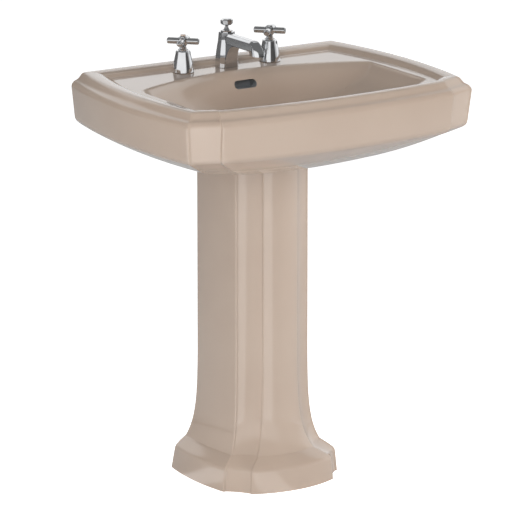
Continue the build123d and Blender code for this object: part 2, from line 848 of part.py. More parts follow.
def clevis_strap():
    eye = Pos(0, tap_y, clevis_bottom_z) * Box(clevis_size, clevis_size, clevis_size, align=BOTTOM)
    eye -= disc(lift_rod_r + thread_fit, clevis_bottom_z - cut_over, clevis_top_z + cut_over, 0, tap_y)
    eye -= rod_along_x(
        screw_r + thread_fit, 0, clevis_size, tap_y, clevis_bottom_z + clevis_size / 2
    )
    bottom = strap_hole_z - strap_tail
    strip = Pos(0, tap_y, bottom) * Box(
        clevis_size, strap_thick, clevis_bottom_z - bottom, align=BOTTOM
    )
    for z in strap_holes_z():
        strip -= rod_along_y(pivot_rod_r + loose, tap_y - clevis_size, tap_y + clevis_size, z)
    return eye + strip


def clevis_screw():
    z = clevis_bottom_z + clevis_size / 2
    shank = rod_along_x(screw_r, lift_rod_r, clevis_size / 2 + screw_out, tap_y, z)
    wing = Pos(clevis_size + screw_out, tap_y, z) * Box(clevis_size, strap_thick, clevis_size)
    return shank + wing


def spring_clip():
    drop = strap_tail + clip_below
    leg_top = strap_hole_z + clevis_size / 2
    foot = strap_hole_z - drop
    clip = Pos(0, tap_y, foot) * Box(clip_width, 2 * clip_half, clip_thick, align=BOTTOM)
    for side in (-1, 1):
        y = tap_y + side * (clip_half - clip_thick / 2)
        clip += Pos(0, y, foot) * Box(clip_width, clip_thick, leg_top - foot, align=BOTTOM)
    hole_r = pivot_rod_r + loose + hairline
    return clip - rod_along_y(hole_r, tap_y - clevis_size, tap_y + clevis_size, strap_hole_z)


def pivot_rod():
    length = outer_arm / math.cos(math.radians(swing / 2)) + pivot_tail
    inner = ball_offset + pivot_tip
    bar = rod_along_y(pivot_rod_r, -inner, length, 0)
    return Pos(0, ball_y, pivot_z) * Rot(-swing / 2, 0, 0) * (bar + Sphere(ball_r))


# Drain

def drain_flange():
    seat = floor_z - flange_thick / 2
    spigot = ring(body_bore_r - thread_fit, flange_bore_r, seat - tail_seat / 3, seat, 0, drain_y)
    edge = [(flange_r, 0.0), (flange_r, 0.6), (0.75 * flange_r, 1.0), (flange_bore_r + flange_lip, 0.5)]
    outline = [(flange_bore_r, 0.0)] + edge + [(flange_bore_r, 0.3)]
    plate = turned([(radius, seat + flange_thick * up) for radius, up in outline], 0, drain_y)
    return plate + spigot


def drain_body():
    top = floor_z - flange_thick / 2
    bottom = top - body_length
    body = disc(body_r, bottom, top, 0, drain_y)
    body += rod_along_y(port_r, drain_y, drain_y + port_reach, pivot_z)
    body -= disc(body_bore_r, bottom - cut_over, top + cut_over, 0, drain_y)
    body -= disc(tail_spigot_r + thread_fit, bottom - cut_over, bottom + tail_seat, 0, drain_y)
    body -= rod_along_y(ball_r + running, drain_y, drain_y + port_reach + cut_over, pivot_z)
    window_z = floor_z - (overflow_floor_top + overflow_floor_low) / 2
    window = Box(body_r, 3 * body_r, overflow_floor_low - overflow_floor_top - cut_over)
    return body - Pos(0, drain_y, window_z) * window


def drain_gasket():
    top = under_floor_z
    return ring(drain_gasket_r, body_r + thread_fit, top - drain_gasket_thick, top, 0, drain_y)


def drain_washer():
    top = under_floor_z - drain_gasket_thick
    return ring(drain_gasket_r, body_r + thread_fit, top - washer_thick, top, 0, drain_y)


def drain_nut():
    top = under_floor_z - drain_gasket_thick - washer_thick
    return hex_nut(drain_nut_flats, body_r + thread_fit, top - drain_nut_thick, top, 0, drain_y)


def pivot_nut():
    end = drain_y + port_reach
    low = end - pivot_nut_grip
    outer = low + pivot_nut_long
    nut = rod_along_y(pivot_nut_r, low, outer, pivot_z)
    nut -= rod_along_y(port_r + thread_fit, low - cut_over, end, pivot_z)
    mouth_r = pivot_rod_r + (outer - ball_y) * math.tan(math.radians(swing / 2)) + loose
    return nut - rod_along_y(mouth_r, low, outer + cut_over, pivot_z)


def stopper():
    seat = floor_z + flange_thick / 2 + stopper_drop + hairline
    eye_z = pivot_z + ball_offset * math.sin(math.radians(swing / 2))
    dome = [(0.0, 0.0), (1.0, 0.0), (1.0, 0.4), (0.7, 0.85), (0.0, 1.0)]
    head = turned([(stopper_r * out, seat + stopper_dome * up) for out, up in dome])
    stem = disc(stopper_stem_r, eye_z - 2 * stopper_stem_r, seat)
    vane_low = floor_z - floor_wall
    vane_r = flange_bore_r - loose / 2
    vanes = Pos(0, 0, vane_low) * (
        Box(2 * vane_r, vane_thick, seat - vane_low, align=BOTTOM)
        + Box(vane_thick, 2 * vane_r, seat - vane_low, align=BOTTOM)
    )
    vanes &= disc(vane_r, vane_low, seat)
    groove = ring(flange_bore_r - loose / 2, stopper_stem_r + seal_r, seat - 2 * seal_r, seat)
    eye_r = pivot_rod_r + stopper_stem_r * math.tan(math.radians(swing / 2)) + loose / 2
    eye = rod_along_y(eye_r, -2 * stopper_stem_r, 2 * stopper_stem_r, eye_z)
    return Pos(0, drain_y, 0) * (head + (stem + vanes - groove) - eye)


def stopper_seal():
    seat = floor_z + flange_thick / 2 + stopper_drop + hairline
    inner = stopper_stem_r + seal_r + thread_fit
    return ring(flange_bore_r - loose, inner, seat - 2 * seal_r + running, seat, 0, drain_y)


def tailpiece():
    shoulder = floor_z - flange_thick / 2 - body_length
    bottom = shoulder - tail_length
    tube = disc(tail_r, bottom, shoulder, 0, drain_y)
    tube += disc(tail_spigot_r, shoulder, shoulder + tail_seat, 0, drain_y)
    return tube - disc(tail_r - tail_wall, bottom - cut_over, shoulder + tail_seat + cut_over, 0, drain_y)


# Every piece by its name

def pieces():
    yield "basin", basin()
    yield "pedestal", pedestal()
    for name, x, side in (("hot", -tap_spacing, -1), ("cold", tap_spacing, 1)):
        yield name + "_handle", handle(x)
        yield name + "_index_cap", index_cap(x)
        yield name + "_handle_screw", handle_screw(x)
        yield name + "_valve_stem", valve_stem(x)
        yield name + "_bell", bell(x)
        yield name + "_bell_gasket", bell_gasket(x)
        yield name + "_valve_collar", valve_collar(x)
        yield name + "_valve_body", valve_body(x)
        yield name + "_bonnet_nut", bonnet_nut(x)
        yield name + "_mount_washer", mount_washer(x, shank_r + hairline)
        yield name + "_mount_nut", mount_nut(x, shank_r + thread_fit)
        yield name + "_crossover_tube", crossover_tube(side)
    yield "crossover_nuts", crossover_nuts()
    yield "spout_body", spout_body()
    yield "aerator", aerator()
    yield "spout_gasket", spout_gasket()
    yield "spout_shank", spout_shank()
    yield "spout_mount_washer", mount_washer(0, spout_shank_r + hairline)
    yield "spout_mount_nut", mount_nut(0, spout_shank_r + thread_fit)
    yield "lift_rod", lift_rod()
    yield "lift_knob", lift_knob()
    yield "clevis_strap", clevis_strap()
    yield "clevis_screw", clevis_screw()
    yield "spring_clip", spring_clip()
    yield "pivot_rod", pivot_rod()
    yield "pivot_nut", pivot_nut()
    yield "drain_flange", drain_flange()
    yield "drain_body", drain_body()
    yield "drain_gasket", drain_gasket()
    yield "drain_washer", drain_washer()
    yield "drain_nut", drain_nut()
    yield "stopper", stopper()
    yield "stopper_seal", stopper_seal()
    yield "tailpiece", tailpiece()


os.makedirs("parts", exist_ok=True)
for node, shape in pieces():
    export_step(shape, "parts/" + node + ".step")
    print(node, round(shape.volume, 1))
print("pivot swing, degrees", round(swing, 3), "stopper drop", round(stopper_drop, 3))
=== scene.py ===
import bmesh
import bpy
import json
import math
import numpy as np
from collections import namedtuple
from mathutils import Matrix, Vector


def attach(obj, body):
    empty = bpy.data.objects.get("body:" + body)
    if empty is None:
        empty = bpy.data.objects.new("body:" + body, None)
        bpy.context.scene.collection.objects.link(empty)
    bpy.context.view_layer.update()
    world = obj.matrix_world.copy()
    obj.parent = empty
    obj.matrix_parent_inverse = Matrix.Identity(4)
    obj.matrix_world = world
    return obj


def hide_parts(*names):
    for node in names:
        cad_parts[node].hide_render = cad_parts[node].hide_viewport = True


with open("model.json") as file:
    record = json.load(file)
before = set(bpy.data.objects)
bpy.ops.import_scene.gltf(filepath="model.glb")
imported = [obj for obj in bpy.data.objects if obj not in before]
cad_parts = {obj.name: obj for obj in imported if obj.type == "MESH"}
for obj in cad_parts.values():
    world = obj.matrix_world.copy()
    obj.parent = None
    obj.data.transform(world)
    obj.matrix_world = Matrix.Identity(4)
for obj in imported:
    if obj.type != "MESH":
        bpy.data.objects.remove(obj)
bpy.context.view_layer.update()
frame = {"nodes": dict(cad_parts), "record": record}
print("frame loaded,", len(frame["nodes"]), "nodes")

mm = 0.001  # shapes below are written in millimetres
tiny = 1e-6
mostCut = 0.48  # of an edge, so that two softened joins never meet
weldGap = 0.002  # points nearer than this become one
overCut = 5.0  # how far a cutter reaches past the surface
sharpAngle = 32  # degrees; joins that bend more keep a sharp edge


# Shader groups that the materials share

noiseSpan = (0.3, 0.7)  # where most values of a noise texture lie
rangeLabels = ("Value", "From Min", "From Max", "To Min", "To Max")


def feed(tree, socket, value):  # an output is linked, and anything else is set
    if isinstance(value, bpy.types.NodeSocket):
        tree.links.new(value, socket)
    else:
        socket.default_value = value


def mapRange(tree, source, span, low, high, curve="LINEAR"):
    node = tree.nodes.new("ShaderNodeMapRange")
    node.interpolation_type = curve
    for label, value in zip(rangeLabels, (source, *span, low, high)):
        feed(tree, node.inputs[label], value)
    return node.outputs["Result"]


def joinValues(tree, operation, *values):
    node = tree.nodes.new("ShaderNodeMath")
    node.operation = operation
    for socket, value in zip(node.inputs, values):
        feed(tree, socket, value)
    return node.outputs["Value"]


def joinVectors(tree, operation, *values):
    node = tree.nodes.new("ShaderNodeVectorMath")
    node.operation = operation
    for socket, value in zip(node.inputs, values):
        feed(tree, socket, value)
    return node.outputs["Value" if operation == "DOT_PRODUCT" else "Vector"]


def noiseNode(tree, scale, coords, detail):
    noise = tree.nodes.new("ShaderNodeTexNoise")
    for label, value in (("Scale", scale), ("Detail", detail), ("Vector", coords)):
        feed(tree, noise.inputs[label], value)
    return noise.outputs["Fac"]


def newGroup(name, inputs, outputs):
    group = bpy.data.node_groups.new(name, "ShaderNodeTree")
    for side, sockets in (("INPUT", inputs), ("OUTPUT", outputs)):
        for label, kind in sockets.items():
            group.interface.new_socket(label, in_out=side, socket_type="NodeSocket" + kind)
    entry = group.nodes.new("NodeGroupInput")
    leave = group.nodes.new("NodeGroupOutput")
    coords = group.nodes.new("ShaderNodeTexCoord")
    return group, entry.outputs, leave.inputs, coords.outputs["Object"]


def makeMottle():  # slow drift of tone, as in a fired glaze or a cast surface
    inputs = {"Light Tone": "Color", "Deep Tone": "Color", "Scale": "Float"}
    group, given, result, coords = newGroup("toneDrift", inputs, {"Color": "Color"})
    broad = noiseNode(group, given["Scale"], coords, detail=3.0)
    mix = group.nodes.new("ShaderNodeMix")
    mix.data_type = "RGBA"
    feed(group, mix.inputs["Factor"], mapRange(group, broad, noiseSpan, 0.0, 1.0))
    feed(group, mix.inputs["A"], given["Light Tone"])
    feed(group, mix.inputs["B"], given["Deep Tone"])
    feed(group, result["Color"], mix.outputs["Result"])
    return group


def makeHaze():  # gloss that varies a little: wiped film, water marks, polishing
    inputs = {"Clean": "Float", "Hazy": "Float", "Scale": "Float"}
    group, given, result, coords = newGroup("glossHaze", inputs, {"Roughness": "Float"})
    marks = noiseNode(group, given["Scale"], coords, detail=6.0)
    feed(group, result["Roughness"], mapRange(group, marks, noiseSpan, given["Clean"], given["Hazy"]))
    return group


def makeRipple():  # very shallow waves of a poured glaze, or the grain of turned metal when stretched
    inputs = {"Scale": "Float", "Stretch": "Vector"}
    group, given, result, coords = newGroup("surfaceRipple", inputs, {"Height": "Float"})
    stretched = joinVectors(group, "MULTIPLY", coords, given["Stretch"])
    feed(group, result["Height"], noiseNode(group, given["Scale"], stretched, detail=2.0))
    return group


toneDrift, glossHaze, surfaceRipple = makeMottle(), makeHaze(), makeRipple()


def finishMaterial(name, values):
    material = bpy.data.materials.new(name)
    material.use_nodes = True
    tree = material.node_tree
    shader = tree.nodes["Principled BSDF"]

    def fill(node, settings):
        for label, key in settings.items():
            node.inputs[label].default_value = values[key]
        return node

    def place(group, settings):
        node = tree.nodes.new("ShaderNodeGroup")
        node.node_tree = group
        return fill(node, settings)

    tone = place(toneDrift, {"Light Tone": "light", "Deep Tone": "deep", "Scale": "toneScale"})
    haze = place(glossHaze, {"Clean": "clean", "Hazy": "hazy", "Scale": "hazeScale"})
    ripple = place(surfaceRipple, {"Scale": "rippleScale", "Stretch": "stretch"})
    bump = fill(tree.nodes.new("ShaderNodeBump"), {"Strength": "rippleStrength"})
    bump.inputs["Distance"].default_value = values["rippleHeight"] * mm
    feed(tree, bump.inputs["Height"], ripple.outputs["Height"])
    feed(tree, shader.inputs["Base Color"], tone.outputs["Color"])
    feed(tree, shader.inputs["Roughness"], haze.outputs["Roughness"])
    feed(tree, shader.inputs["Normal"], bump.outputs["Normal"])
    fill(shader, {"Metallic": "metallic", "IOR": "ior"})
    fill(shader, {"Coat Weight": "coat", "Coat Roughness": "coatRoughness"})
    return material


plain = {
    "toneScale": 9.0, "clean": 0.05, "hazy": 0.1, "hazeScale": 16.0, "rippleScale": 40.0,
    "stretch": (1, 1, 1), "rippleStrength": 0.1, "rippleHeight": 0.1, "metallic": 0.0, "coat": 0.0,
    "coatRoughness": 0.03, "ior": 1.5,
}
chinaLook = dict(
    plain, light=(0.535, 0.425, 0.345, 1), deep=(0.505, 0.395, 0.318, 1), toneScale=5.0, clean=0.07,
    hazy=0.11, rippleScale=14.0, rippleStrength=0.06, rippleHeight=0.4, coat=0.6, ior=1.52,
)
passageShadeLook = dict(  # painted shade: dark grey on the overflow's inside, standing in for the shade deep in the cavity
    plain, light=(0.24, 0.25, 0.265, 1), deep=(0.18, 0.19, 0.20, 1), toneScale=25.0, clean=0.6,
    hazy=0.8, rippleScale=120.0, rippleStrength=0.2,
)
chromeLook = dict(
    plain, light=(0.80, 0.81, 0.82, 1), deep=(0.74, 0.75, 0.77, 1), toneScale=30.0, clean=0.03,
    hazy=0.09, hazeScale=60.0, rippleScale=90.0, rippleStrength=0.04, metallic=1.0,
)
brassLook = dict(
    plain, light=(0.62, 0.45, 0.20, 1), deep=(0.48, 0.33, 0.13, 1), toneScale=40.0, clean=0.22, hazy=0.4,
    hazeScale=70.0, rippleScale=300.0, stretch=(0.2, 0.2, 3.0), rippleStrength=0.25, metallic=1.0,
)
steelLook = dict(
    plain, light=(0.56, 0.56, 0.57, 1), deep=(0.44, 0.44, 0.46, 1), toneScale=50.0, clean=0.25, hazy=0.42,
    hazeScale=80.0, rippleScale=260.0, stretch=(3.0, 3.0, 0.3), rippleStrength=0.25, metallic=1.0,
)
rubberLook = dict(
    plain, light=(0.035, 0.035, 0.037, 1), deep=(0.02, 0.02, 0.021, 1), toneScale=60.0, clean=0.55,
    hazy=0.8, hazeScale=90.0, rippleScale=500.0, rippleStrength=0.3,
)
finishes = {
    "china": finishMaterial("glazedChina", chinaLook),
    # the overflow's inside gets a dark grey finish, painted shade for the cavity
    "passage": finishMaterial("passageShadePaint", passageShadeLook),
    "chrome": finishMaterial("polishedChrome", chromeLook),
    "brass": finishMaterial("plainBrass", brassLook),
    "steel": finishMaterial("brightSteel", steelLook),
    "rubber": finishMaterial("blackRubber", rubberLook),
}
print("materials made:", ", ".join(finishes))


# Outlines: edges with rounded corners, always the same number of points

def lineEdge(start, end):
    a, b = np.array(start, float), np.array(end, float)
    return lambda t: a + (b - a) * t, float(np.linalg.norm(b - a))


def arcEdge(start, middle, end):
    a, m, b = (complex(*p) for p in (start, middle, end))
    ratio = (b - a) / (m - a)
    if abs(ratio.imag) < tiny:
        return lineEdge(start, end)
    centre = (b - a) * (ratio - abs(ratio) ** 2) / (2j * ratio.imag) / ratio + a
    turn = np.angle((b - centre) / (a - centre))

    def at(t):
        p = centre + (a - centre) * np.exp(1j * turn * t)
        return np.array((p.real, p.imag))

    return at, abs(turn) * abs(a - centre)


def cornerRing(edges, cuts, counts, cornerCount=8):  # cuts[i] softens the join at the start of edge i
    points = []
    for i, (at, length) in enumerate(edges):
        j = (i + 1) % len(edges)
        nextAt, nextLength = edges[j]
        first = min(cuts[i] / length, mostCut)
        last = 1 - min(cuts[j] / length, mostCut)
        points += [at(first + (last - first) * k / counts[i]) for k in range(counts[i] + 1)]
        bend = (at(last), at(1.0), nextAt(0.0), nextAt(min(cuts[j] / nextLength, mostCut)))
        for k in range(1, cornerCount):
            t = k / cornerCount
            weights = ((1 - t) ** 3, 3 * t * (1 - t) ** 2, 3 * t * t * (1 - t), t ** 3)
            points.append(sum(w * p for w, p in zip(weights, bend)))
    return np.array(points)


def flipped(edge):
    at, length = edge
    return lambda t: at(1 - t), length


def mirrored(edge):
    at, length = edge
    return lambda t: at(1 - t) * (-1, 1), length


# Plans: the notched outline of the basin and the pedestal, with a height

Plan = namedtuple("Plan", "backY backW midW sideW sideY frontW frontY apexY step z")


def sideArc(plan):
    middle = (plan.midW, (plan.backY + plan.sideY) / 2)
    return arcEdge((plan.backW, plan.backY), middle, (plan.sideW, plan.sideY))


def frontArc(plan):
    return arcEdge((plan.frontW, plan.frontY), (0, plan.apexY), (-plan.frontW, plan.frontY))


def outward(tangent):
    return np.array((-tangent[1], tangent[0])) / np.linalg.norm(tangent)


def aroundFront(plan, hollow):  # from the right back corner round the front to the left back corner
    side, front = np.array((plan.sideW, plan.sideY)), np.array((plan.frontW, plan.frontY))
    start, end = side - (plan.step, 0), front + (0, plan.step)
    middle = (start + end) / 2 - hollow * outward(end - start)
    right = [sideArc(plan), lineEdge(side, start), arcEdge(start, middle, end), lineEdge(end, front)]
    return right + [frontArc(plan)] + [mirrored(edge) for edge in right[::-1]]


def stepCuts(ridge, crease):  # softening of the joins between those edges
    return [ridge, crease, crease, ridge] * 2


def insetPlan(plan, by, back=0.0, z=None):
    nudge = 0.001
    sideAt, frontAt = sideArc(plan)[0], frontArc(plan)[0]
    side = outward(sideAt(1) - sideAt(1 - nudge))
    front = outward(frontAt(nudge) - frontAt(0))
    corner = outward((plan.frontW - plan.sideW + plan.step, plan.frontY + plan.step - plan.sideY))
    sideShift = -(side + corner) / (1 + side @ corner) * by
    frontShift = -(corner + front) / (1 + corner @ front) * by
    return plan._replace(
        backY=plan.backY - back, backW=plan.backW - by, midW=plan.midW - by,
        sideW=plan.sideW + sideShift[0], sideY=plan.sideY + sideShift[1],
        frontW=plan.frontW + frontShift[0], frontY=plan.frontY + frontShift[1],
        apexY=plan.apexY + by, z=plan.z if z is None else z,
    )


def blendPlan(one, two, share):
    return Plan(*[a + (b - a) * share for a, b in zip(one, two)])


def planGap(one, two):
    return math.hypot(one.z - two.z, one.apexY - two.apexY)


def roundChain(levels, cornerCount=6):  # levels are (plan, rounding) pairs
    plans = [plan for plan, cut in levels]
    chain = [plans[0]]
    for i in range(1, len(levels) - 1):
        here, cut = levels[i]
        before, after = plans[i - 1], plans[i + 1]
        if cut == 0:
            chain.append(here)
            continue
        a = blendPlan(here, before, min(cut / max(planGap(here, before), tiny), mostCut))
        b = blendPlan(here, after, min(cut / max(planGap(here, after), tiny), mostCut))
        for k in range(cornerCount + 1):
            t = k / cornerCount
            chain.append(blendPlan(blendPlan(a, here, t), blendPlan(here, b, t), t))
    return chain + [plans[-1]]


# Meshes

aslant = (0.3, 0.5, 0.8)  # a direction that no round cutter's axis follows
cutterCount = 40  # points around a round cutter


def atHeight(points, z):
    return np.column_stack((points, np.full(len(points), z)))


def loopQuads(rings, closed):
    count = len(rings[0])
    faces = []
    last = len(rings) if closed else len(rings) - 1
    for i in range(last):
        low, high = i * count, (i + 1) % len(rings) * count
        for j in range(count):
            k = (j + 1) % count
            faces.append((low + j, low + k, high + k, high + j))
    return faces


def newPiece(name, rings, closed, caps=False, finish="china"):
    faces = loopQuads(rings, closed)
    count = len(rings[0])
    if caps:
        faces.append(tuple(range(count)))
        faces.append(tuple((len(rings) - 1) * count + j for j in range(count)))
    mesh = bpy.data.meshes.new(name)
    mesh.from_pydata([tuple(p) for p in np.concatenate(rings) * mm], [], faces)
    mesh.materials.append(finishes[finish])
    work = bmesh.new()
    work.from_mesh(mesh)
    bmesh.ops.remove_doubles(work, verts=work.verts, dist=weldGap * mm)
    bmesh.ops.recalc_face_normals(work, faces=work.faces)
    work.to_mesh(mesh)
    work.free()
    piece = bpy.data.objects.new(name, mesh)
    bpy.context.scene.collection.objects.link(piece)
    return piece


def carve(piece, cutter, operation):
    change = piece.modifiers.new("carve", "BOOLEAN")
    change.object = cutter
    change.operation = operation
    change.solver = "EXACT"
    change.material_mode = "TRANSFER"  # cut faces keep the cutter's finish
    graph = bpy.context.evaluated_depsgraph_get()
    made = bpy.data.meshes.new_from_object(piece.evaluated_get(graph))
    piece.modifiers.clear()
    piece.data = made
    bpy.data.objects.remove(cutter)


def shadeSmooth(piece, angle=sharpAngle):
    mesh = piece.data
    mesh.polygons.foreach_set("use_smooth", [True] * len(mesh.polygons))
    mesh.set_sharp_from_angle(angle=math.radians(angle))
    mesh.update()


def dress(piece, node, body="frame"):
    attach(piece, body)
    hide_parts(node)


def solidCutter(rings, finish="china"):
    return newPiece("cutter", rings, False, True, finish)


def boxCutter(low, high):
    corners = [(low[0], low[1]), (high[0], low[1]), (high[0], high[1]), (low[0], high[1])]
    outline = np.array(corners, float)
    return solidCutter([atHeight(outline, low[2]), atHeight(outline, high[2])])


def roundCutter(radius, start, end, finish="china"):
    axis = np.array(end, float) - start
    axis /= np.linalg.norm(axis)
    side = np.cross(axis, aslant)
    side /= np.linalg.norm(side)
    other = np.cross(axis, side)
    turns = np.arange(cutterCount) * 2 * math.pi / cutterCount
    circle = radius * (np.cos(turns)[:, None] * side + np.sin(turns)[:, None] * other)
    return solidCutter([circle + start, circle + end], finish)


def pushedCutter(outline, half, finish):  # a YZ outline pushed out both ways along X
    return solidCutter([np.array([(x, y, z) for y, z in outline]) for x in (-half, half)], finish)


# Basin

basinShape = {
    "wallY": 252.5, "width": 693.0, "backIn": 30.5, "sideIn": 18.9, "frontPanel": 531.0, "frontBow": 21.5,
    "cornerRun": 27.0, "step": 6.0, "rimZ": 822.0, "apronTopZ": 797.0, "apronLowZ": 724.0, "draft": 8.0,
    "neckZ": 645.0, "neckOverhang": 10.0, "neckRound": 2.0, "sag": 15.0, "wall": 13.0,
    "ridgeSoft": 9.0, "creaseSoft": 2.5, "backSoft": 5.0, "apronRound": 9.0, "shoulderRound": 5.0,
    "crestIn": 27.0, "crestBack": 8.0, "rimDip": 1.0, "rimRound": 8.0, "rimSlope": 3.6,
    "wellIn": 50.0, "wellBack": 41.0, "wellFront": 36.0, "wellCove": 9.0, "wellRound": 5.0,
    "deckZ": 811.0, "deckWall": 14.0, "deckIn": 4.0, "deckBack": 8.0, "shellGap": 1.0,
    "bowlHalf": 267.0, "bowlBackY": 138.0, "bowlFrontY": -206.0, "bowlBackBow": 68.0, "bowlFrontBow": 8.0,
    "bowlCutX": 100.0, "bowlCutY": 58.0, "bowlDepth": 116.0, "bowlSideIn": 227.0, "bowlBackIn": 62.0,
    "bowlFrontIn": 206.0, "bowlBackRound": 12.0, "bowlFrontRound": 26.0,
    "floorR": 34.0, "floorDish": 0.3, "floorWall": 16.0, "drainY": 40.0, "drainR": 22.5, "drainDip": 1.0,
    "slotWidth": 51.5, "slotHeight": 15.6, "slotDrop": 23.8, "slotDeep": 14.0, "slotRib": 10.0,
    "mouthIn": 1.0, "hangerX": 203.2, "hangerZ": 749.0, "hangerR": 6.0, "hangerFromY": 225.0,
    "hangerToY": 260.0, "accessHalf": 122.0, "accessTopZ": 771.0, "accessY": 147.0,
}
planCounts = [30, 2, 8, 2, 44, 2, 8, 2, 30]  # points on each edge, right back to left back
backCount = 40  # points on the basin's back edge
bellySteps = 14
crestRows = [  # shares of the rise and of the inset at sides and back, and the rounding
    (0.30, 0.20, 0.25, 2.5), (0.44, 0.50, 0.5, 5.0), (0.97, 0.86, 0.85, 6.0),
]
rimShares = (0.8, 0.6)  # of the well's inset at sides and back, where the rim's top begins to slope
bowlCounts = [20, 20, 40, 20, 20, 60]  # points on each edge of the bowl, right to back
bowlCornerCount = 12
bowlShares = [  # of depth, and of the inset at sides, back and front
    (0.04, 0.02, 0.16, 0.02), (0.10, 0.07, 0.34, 0.055), (0.245, 0.163, 0.51, 0.13),
    (0.39, 0.31, 0.59, 0.27), (0.49, 0.445, 0.64, 0.41), (0.62, 0.617, 0.71, 0.59),
    (0.76, 0.784, 0.81, 0.77), (0.89, 0.912, 0.90, 0.91), (1.0, 1.0, 1.0, 1.0),
]
lipRows = [(9, 16, 5), (6, 10, 3.4), (0, 0, 0)]  # how far the bowl's lip spreads at sides, back and front
bowlRounds, shellRounds = 3, 1  # of corner cutting, inside the bowl and under it
passageShares = (0.245, 0.39, 0.62, 0.86)  # of the depth, where the overflow passage bends
floorShares = {"top": 0.35, "low": 0.75}  # of the floor's wall, where the passage runs to the drain
ribLift = 0.2  # share of its spread by which the rib around the passage rises there
slotCount = 14  # points around each end of the overflow slot


def planRing(plan):
    size = basinShape
    back = lineEdge((-plan.backW, plan.backY), (plan.backW, plan.backY))
    cuts = [size["backSoft"]] + stepCuts(size["ridgeSoft"], size["creaseSoft"]) + [size["backSoft"]]
    return atHeight(cornerRing(aroundFront(plan, 0.0) + [back], cuts, planCounts + [backCount]), plan.z)


def bowlOutline(sideIn, backIn, frontIn, grow):
    size = basinShape
    half = size["bowlHalf"] - sideIn + grow
    share = half / size["bowlHalf"]
    backY = size["bowlBackY"] - backIn + grow
    frontY = size["bowlFrontY"] + frontIn - grow
    backBow = min(size["bowlBackBow"] * share, (backY - frontY) / 3)  # a third of the length at most
    cornerY = frontY + size["bowlFrontBow"] * share
    back, side = (half, backY - backBow), (half, cornerY + size["bowlCutY"] * share)
    front = (half - size["bowlCutX"] * share, cornerY)
    right = [lineEdge(back, side), lineEdge(side, front)]
    edges = right + [arcEdge(front, (0, frontY), (-front[0], front[1]))]
    edges += [mirrored(edge) for edge in right[::-1]]
    edges.append(arcEdge((-back[0], back[1]), (0, backY), back))
    backRound, frontRound = size["bowlBackRound"] * share, size["bowlFrontRound"] * share
    return cornerRing(edges, [backRound] + [frontRound] * 4 + [backRound], bowlCounts, bowlCornerCount)


def byAngle(outline, centre, angles):
    offset = outline - centre
    turns = np.arctan2(offset[:, 1], offset[:, 0])
    order = np.argsort(turns)
    reach = np.interp(angles, turns[order], np.linalg.norm(offset, axis=1)[order], period=2 * math.pi)
    return centre + np.column_stack((np.cos(angles), np.sin(angles))) * reach[:, None]


def cutCorners(rows, rounds):
    near, far = 0.75, 0.25
    for _ in range(rounds):
        softer = [rows[0]]
        for a, b in zip(rows, rows[1:]):
            softer += [a * near + b * far, a * far + b * near]
        rows = softer + [rows[-1]]
    return rows


def bowlRings(angles, depth, grow, lip, smooth):
    size = basinShape
    centre = np.array((0.0, size["drainY"]))
    insets = (size["bowlSideIn"], size["bowlBackIn"], size["bowlFrontIn"])
    rows = [np.array((0.0, -side, -back, -front)) for side, back, front in lip]
    rows += [np.array(row) * (depth, *insets) for row in bowlShares]
    rings = []
    for drop, side, back, front in cutCorners(rows, smooth):
        outline = bowlOutline(side, back, front, grow)
        rings.append(atHeight(byAngle(outline, centre, angles), size["deckZ"] - drop))
    return rings


def circleRing(angles, radius, z):
    ring = np.column_stack((np.cos(angles), np.sin(angles))) * radius + (0.0, basinShape["drainY"])
    return atHeight(ring, z)


def basinPlans():
    size = basinShape
    half, frontY = size["width"] / 2, -size["wallY"] + size["frontBow"]
    apron = Plan(
        size["wallY"], half - size["backIn"], half, half - size["sideIn"], frontY + size["cornerRun"],
        size["frontPanel"] / 2, frontY, -size["wallY"], size["step"], size["apronTopZ"],
    )
    neck = insetPlan(shaftPlan(), -size["neckOverhang"], -size["neckOverhang"], size["neckZ"])
    return apron, neck


def bellyPlans(neck, apronLow):  # from the neck out to the apron, sagging most half way
    plans = []
    for i in range(1, bellySteps):
        share = i / bellySteps
        sag = 4 * basinShape["sag"] * share * (1 - share)
        plan = blendPlan(neck, apronLow, share)
        plans.append(plan._replace(z=plan.z - sag))
    return plans


def rimLevels(apron):  # the crest, the rim's sloping top and the well down to the deck
    size = basinShape
    levels = []
    rise = size["rimZ"] - size["apronTopZ"]
    for up, side, back, cut in crestRows:
        z = size["apronTopZ"] + rise * up
        levels.append((insetPlan(apron, size["crestIn"] * side, size["crestBack"] * back, z), cut))
    sideIn, backIn = size["wellIn"] * rimShares[0], size["wellBack"] * rimShares[1]
    levels.append((insetPlan(apron, sideIn, backIn, size["rimZ"] - size["rimDip"]), size["rimRound"]))
    for extra, z in ((0.0, size["rimZ"] - size["rimSlope"]), (size["wellCove"], size["deckZ"])):
        plan = insetPlan(apron, size["wellIn"] + extra, size["wellBack"] + extra, z)
        keep = size["wellIn"] - size["wellFront"] + extra / 2
        plan = plan._replace(frontY=plan.frontY - keep, apexY=plan.apexY - keep)
        levels.append((plan, size["wellRound"]))
    return levels + [(insetPlan(plan, size["deckIn"], size["deckBack"]), 0)]


def outsideChain():
    size = basinShape
    apron, neck = basinPlans()
    apronLow = insetPlan(apron, size["draft"], 0, size["apronLowZ"])
    levels = [(insetPlan(neck, size["wall"], size["wall"]), 0), (neck, size["neckRound"])]
    levels += [(plan, 0) for plan in bellyPlans(neck, apronLow)]
    levels += [(apronLow, size["apronRound"]), (apron, size["shoulderRound"])]
    return roundChain(levels + rimLevels(apron))


def insideChain():
    size = basinShape
    apron, neck = basinPlans()
    low = insetPlan(apron, size["draft"] + size["wall"], size["wall"], size["apronLowZ"] + size["wall"])
    top = insetPlan(apron, size["wall"], size["wall"], size["deckZ"] - size["deckWall"])
    innerNeck = insetPlan(neck, size["wall"], size["wall"])
    return [top, low] + bellyPlans(innerNeck, low)[::-1]


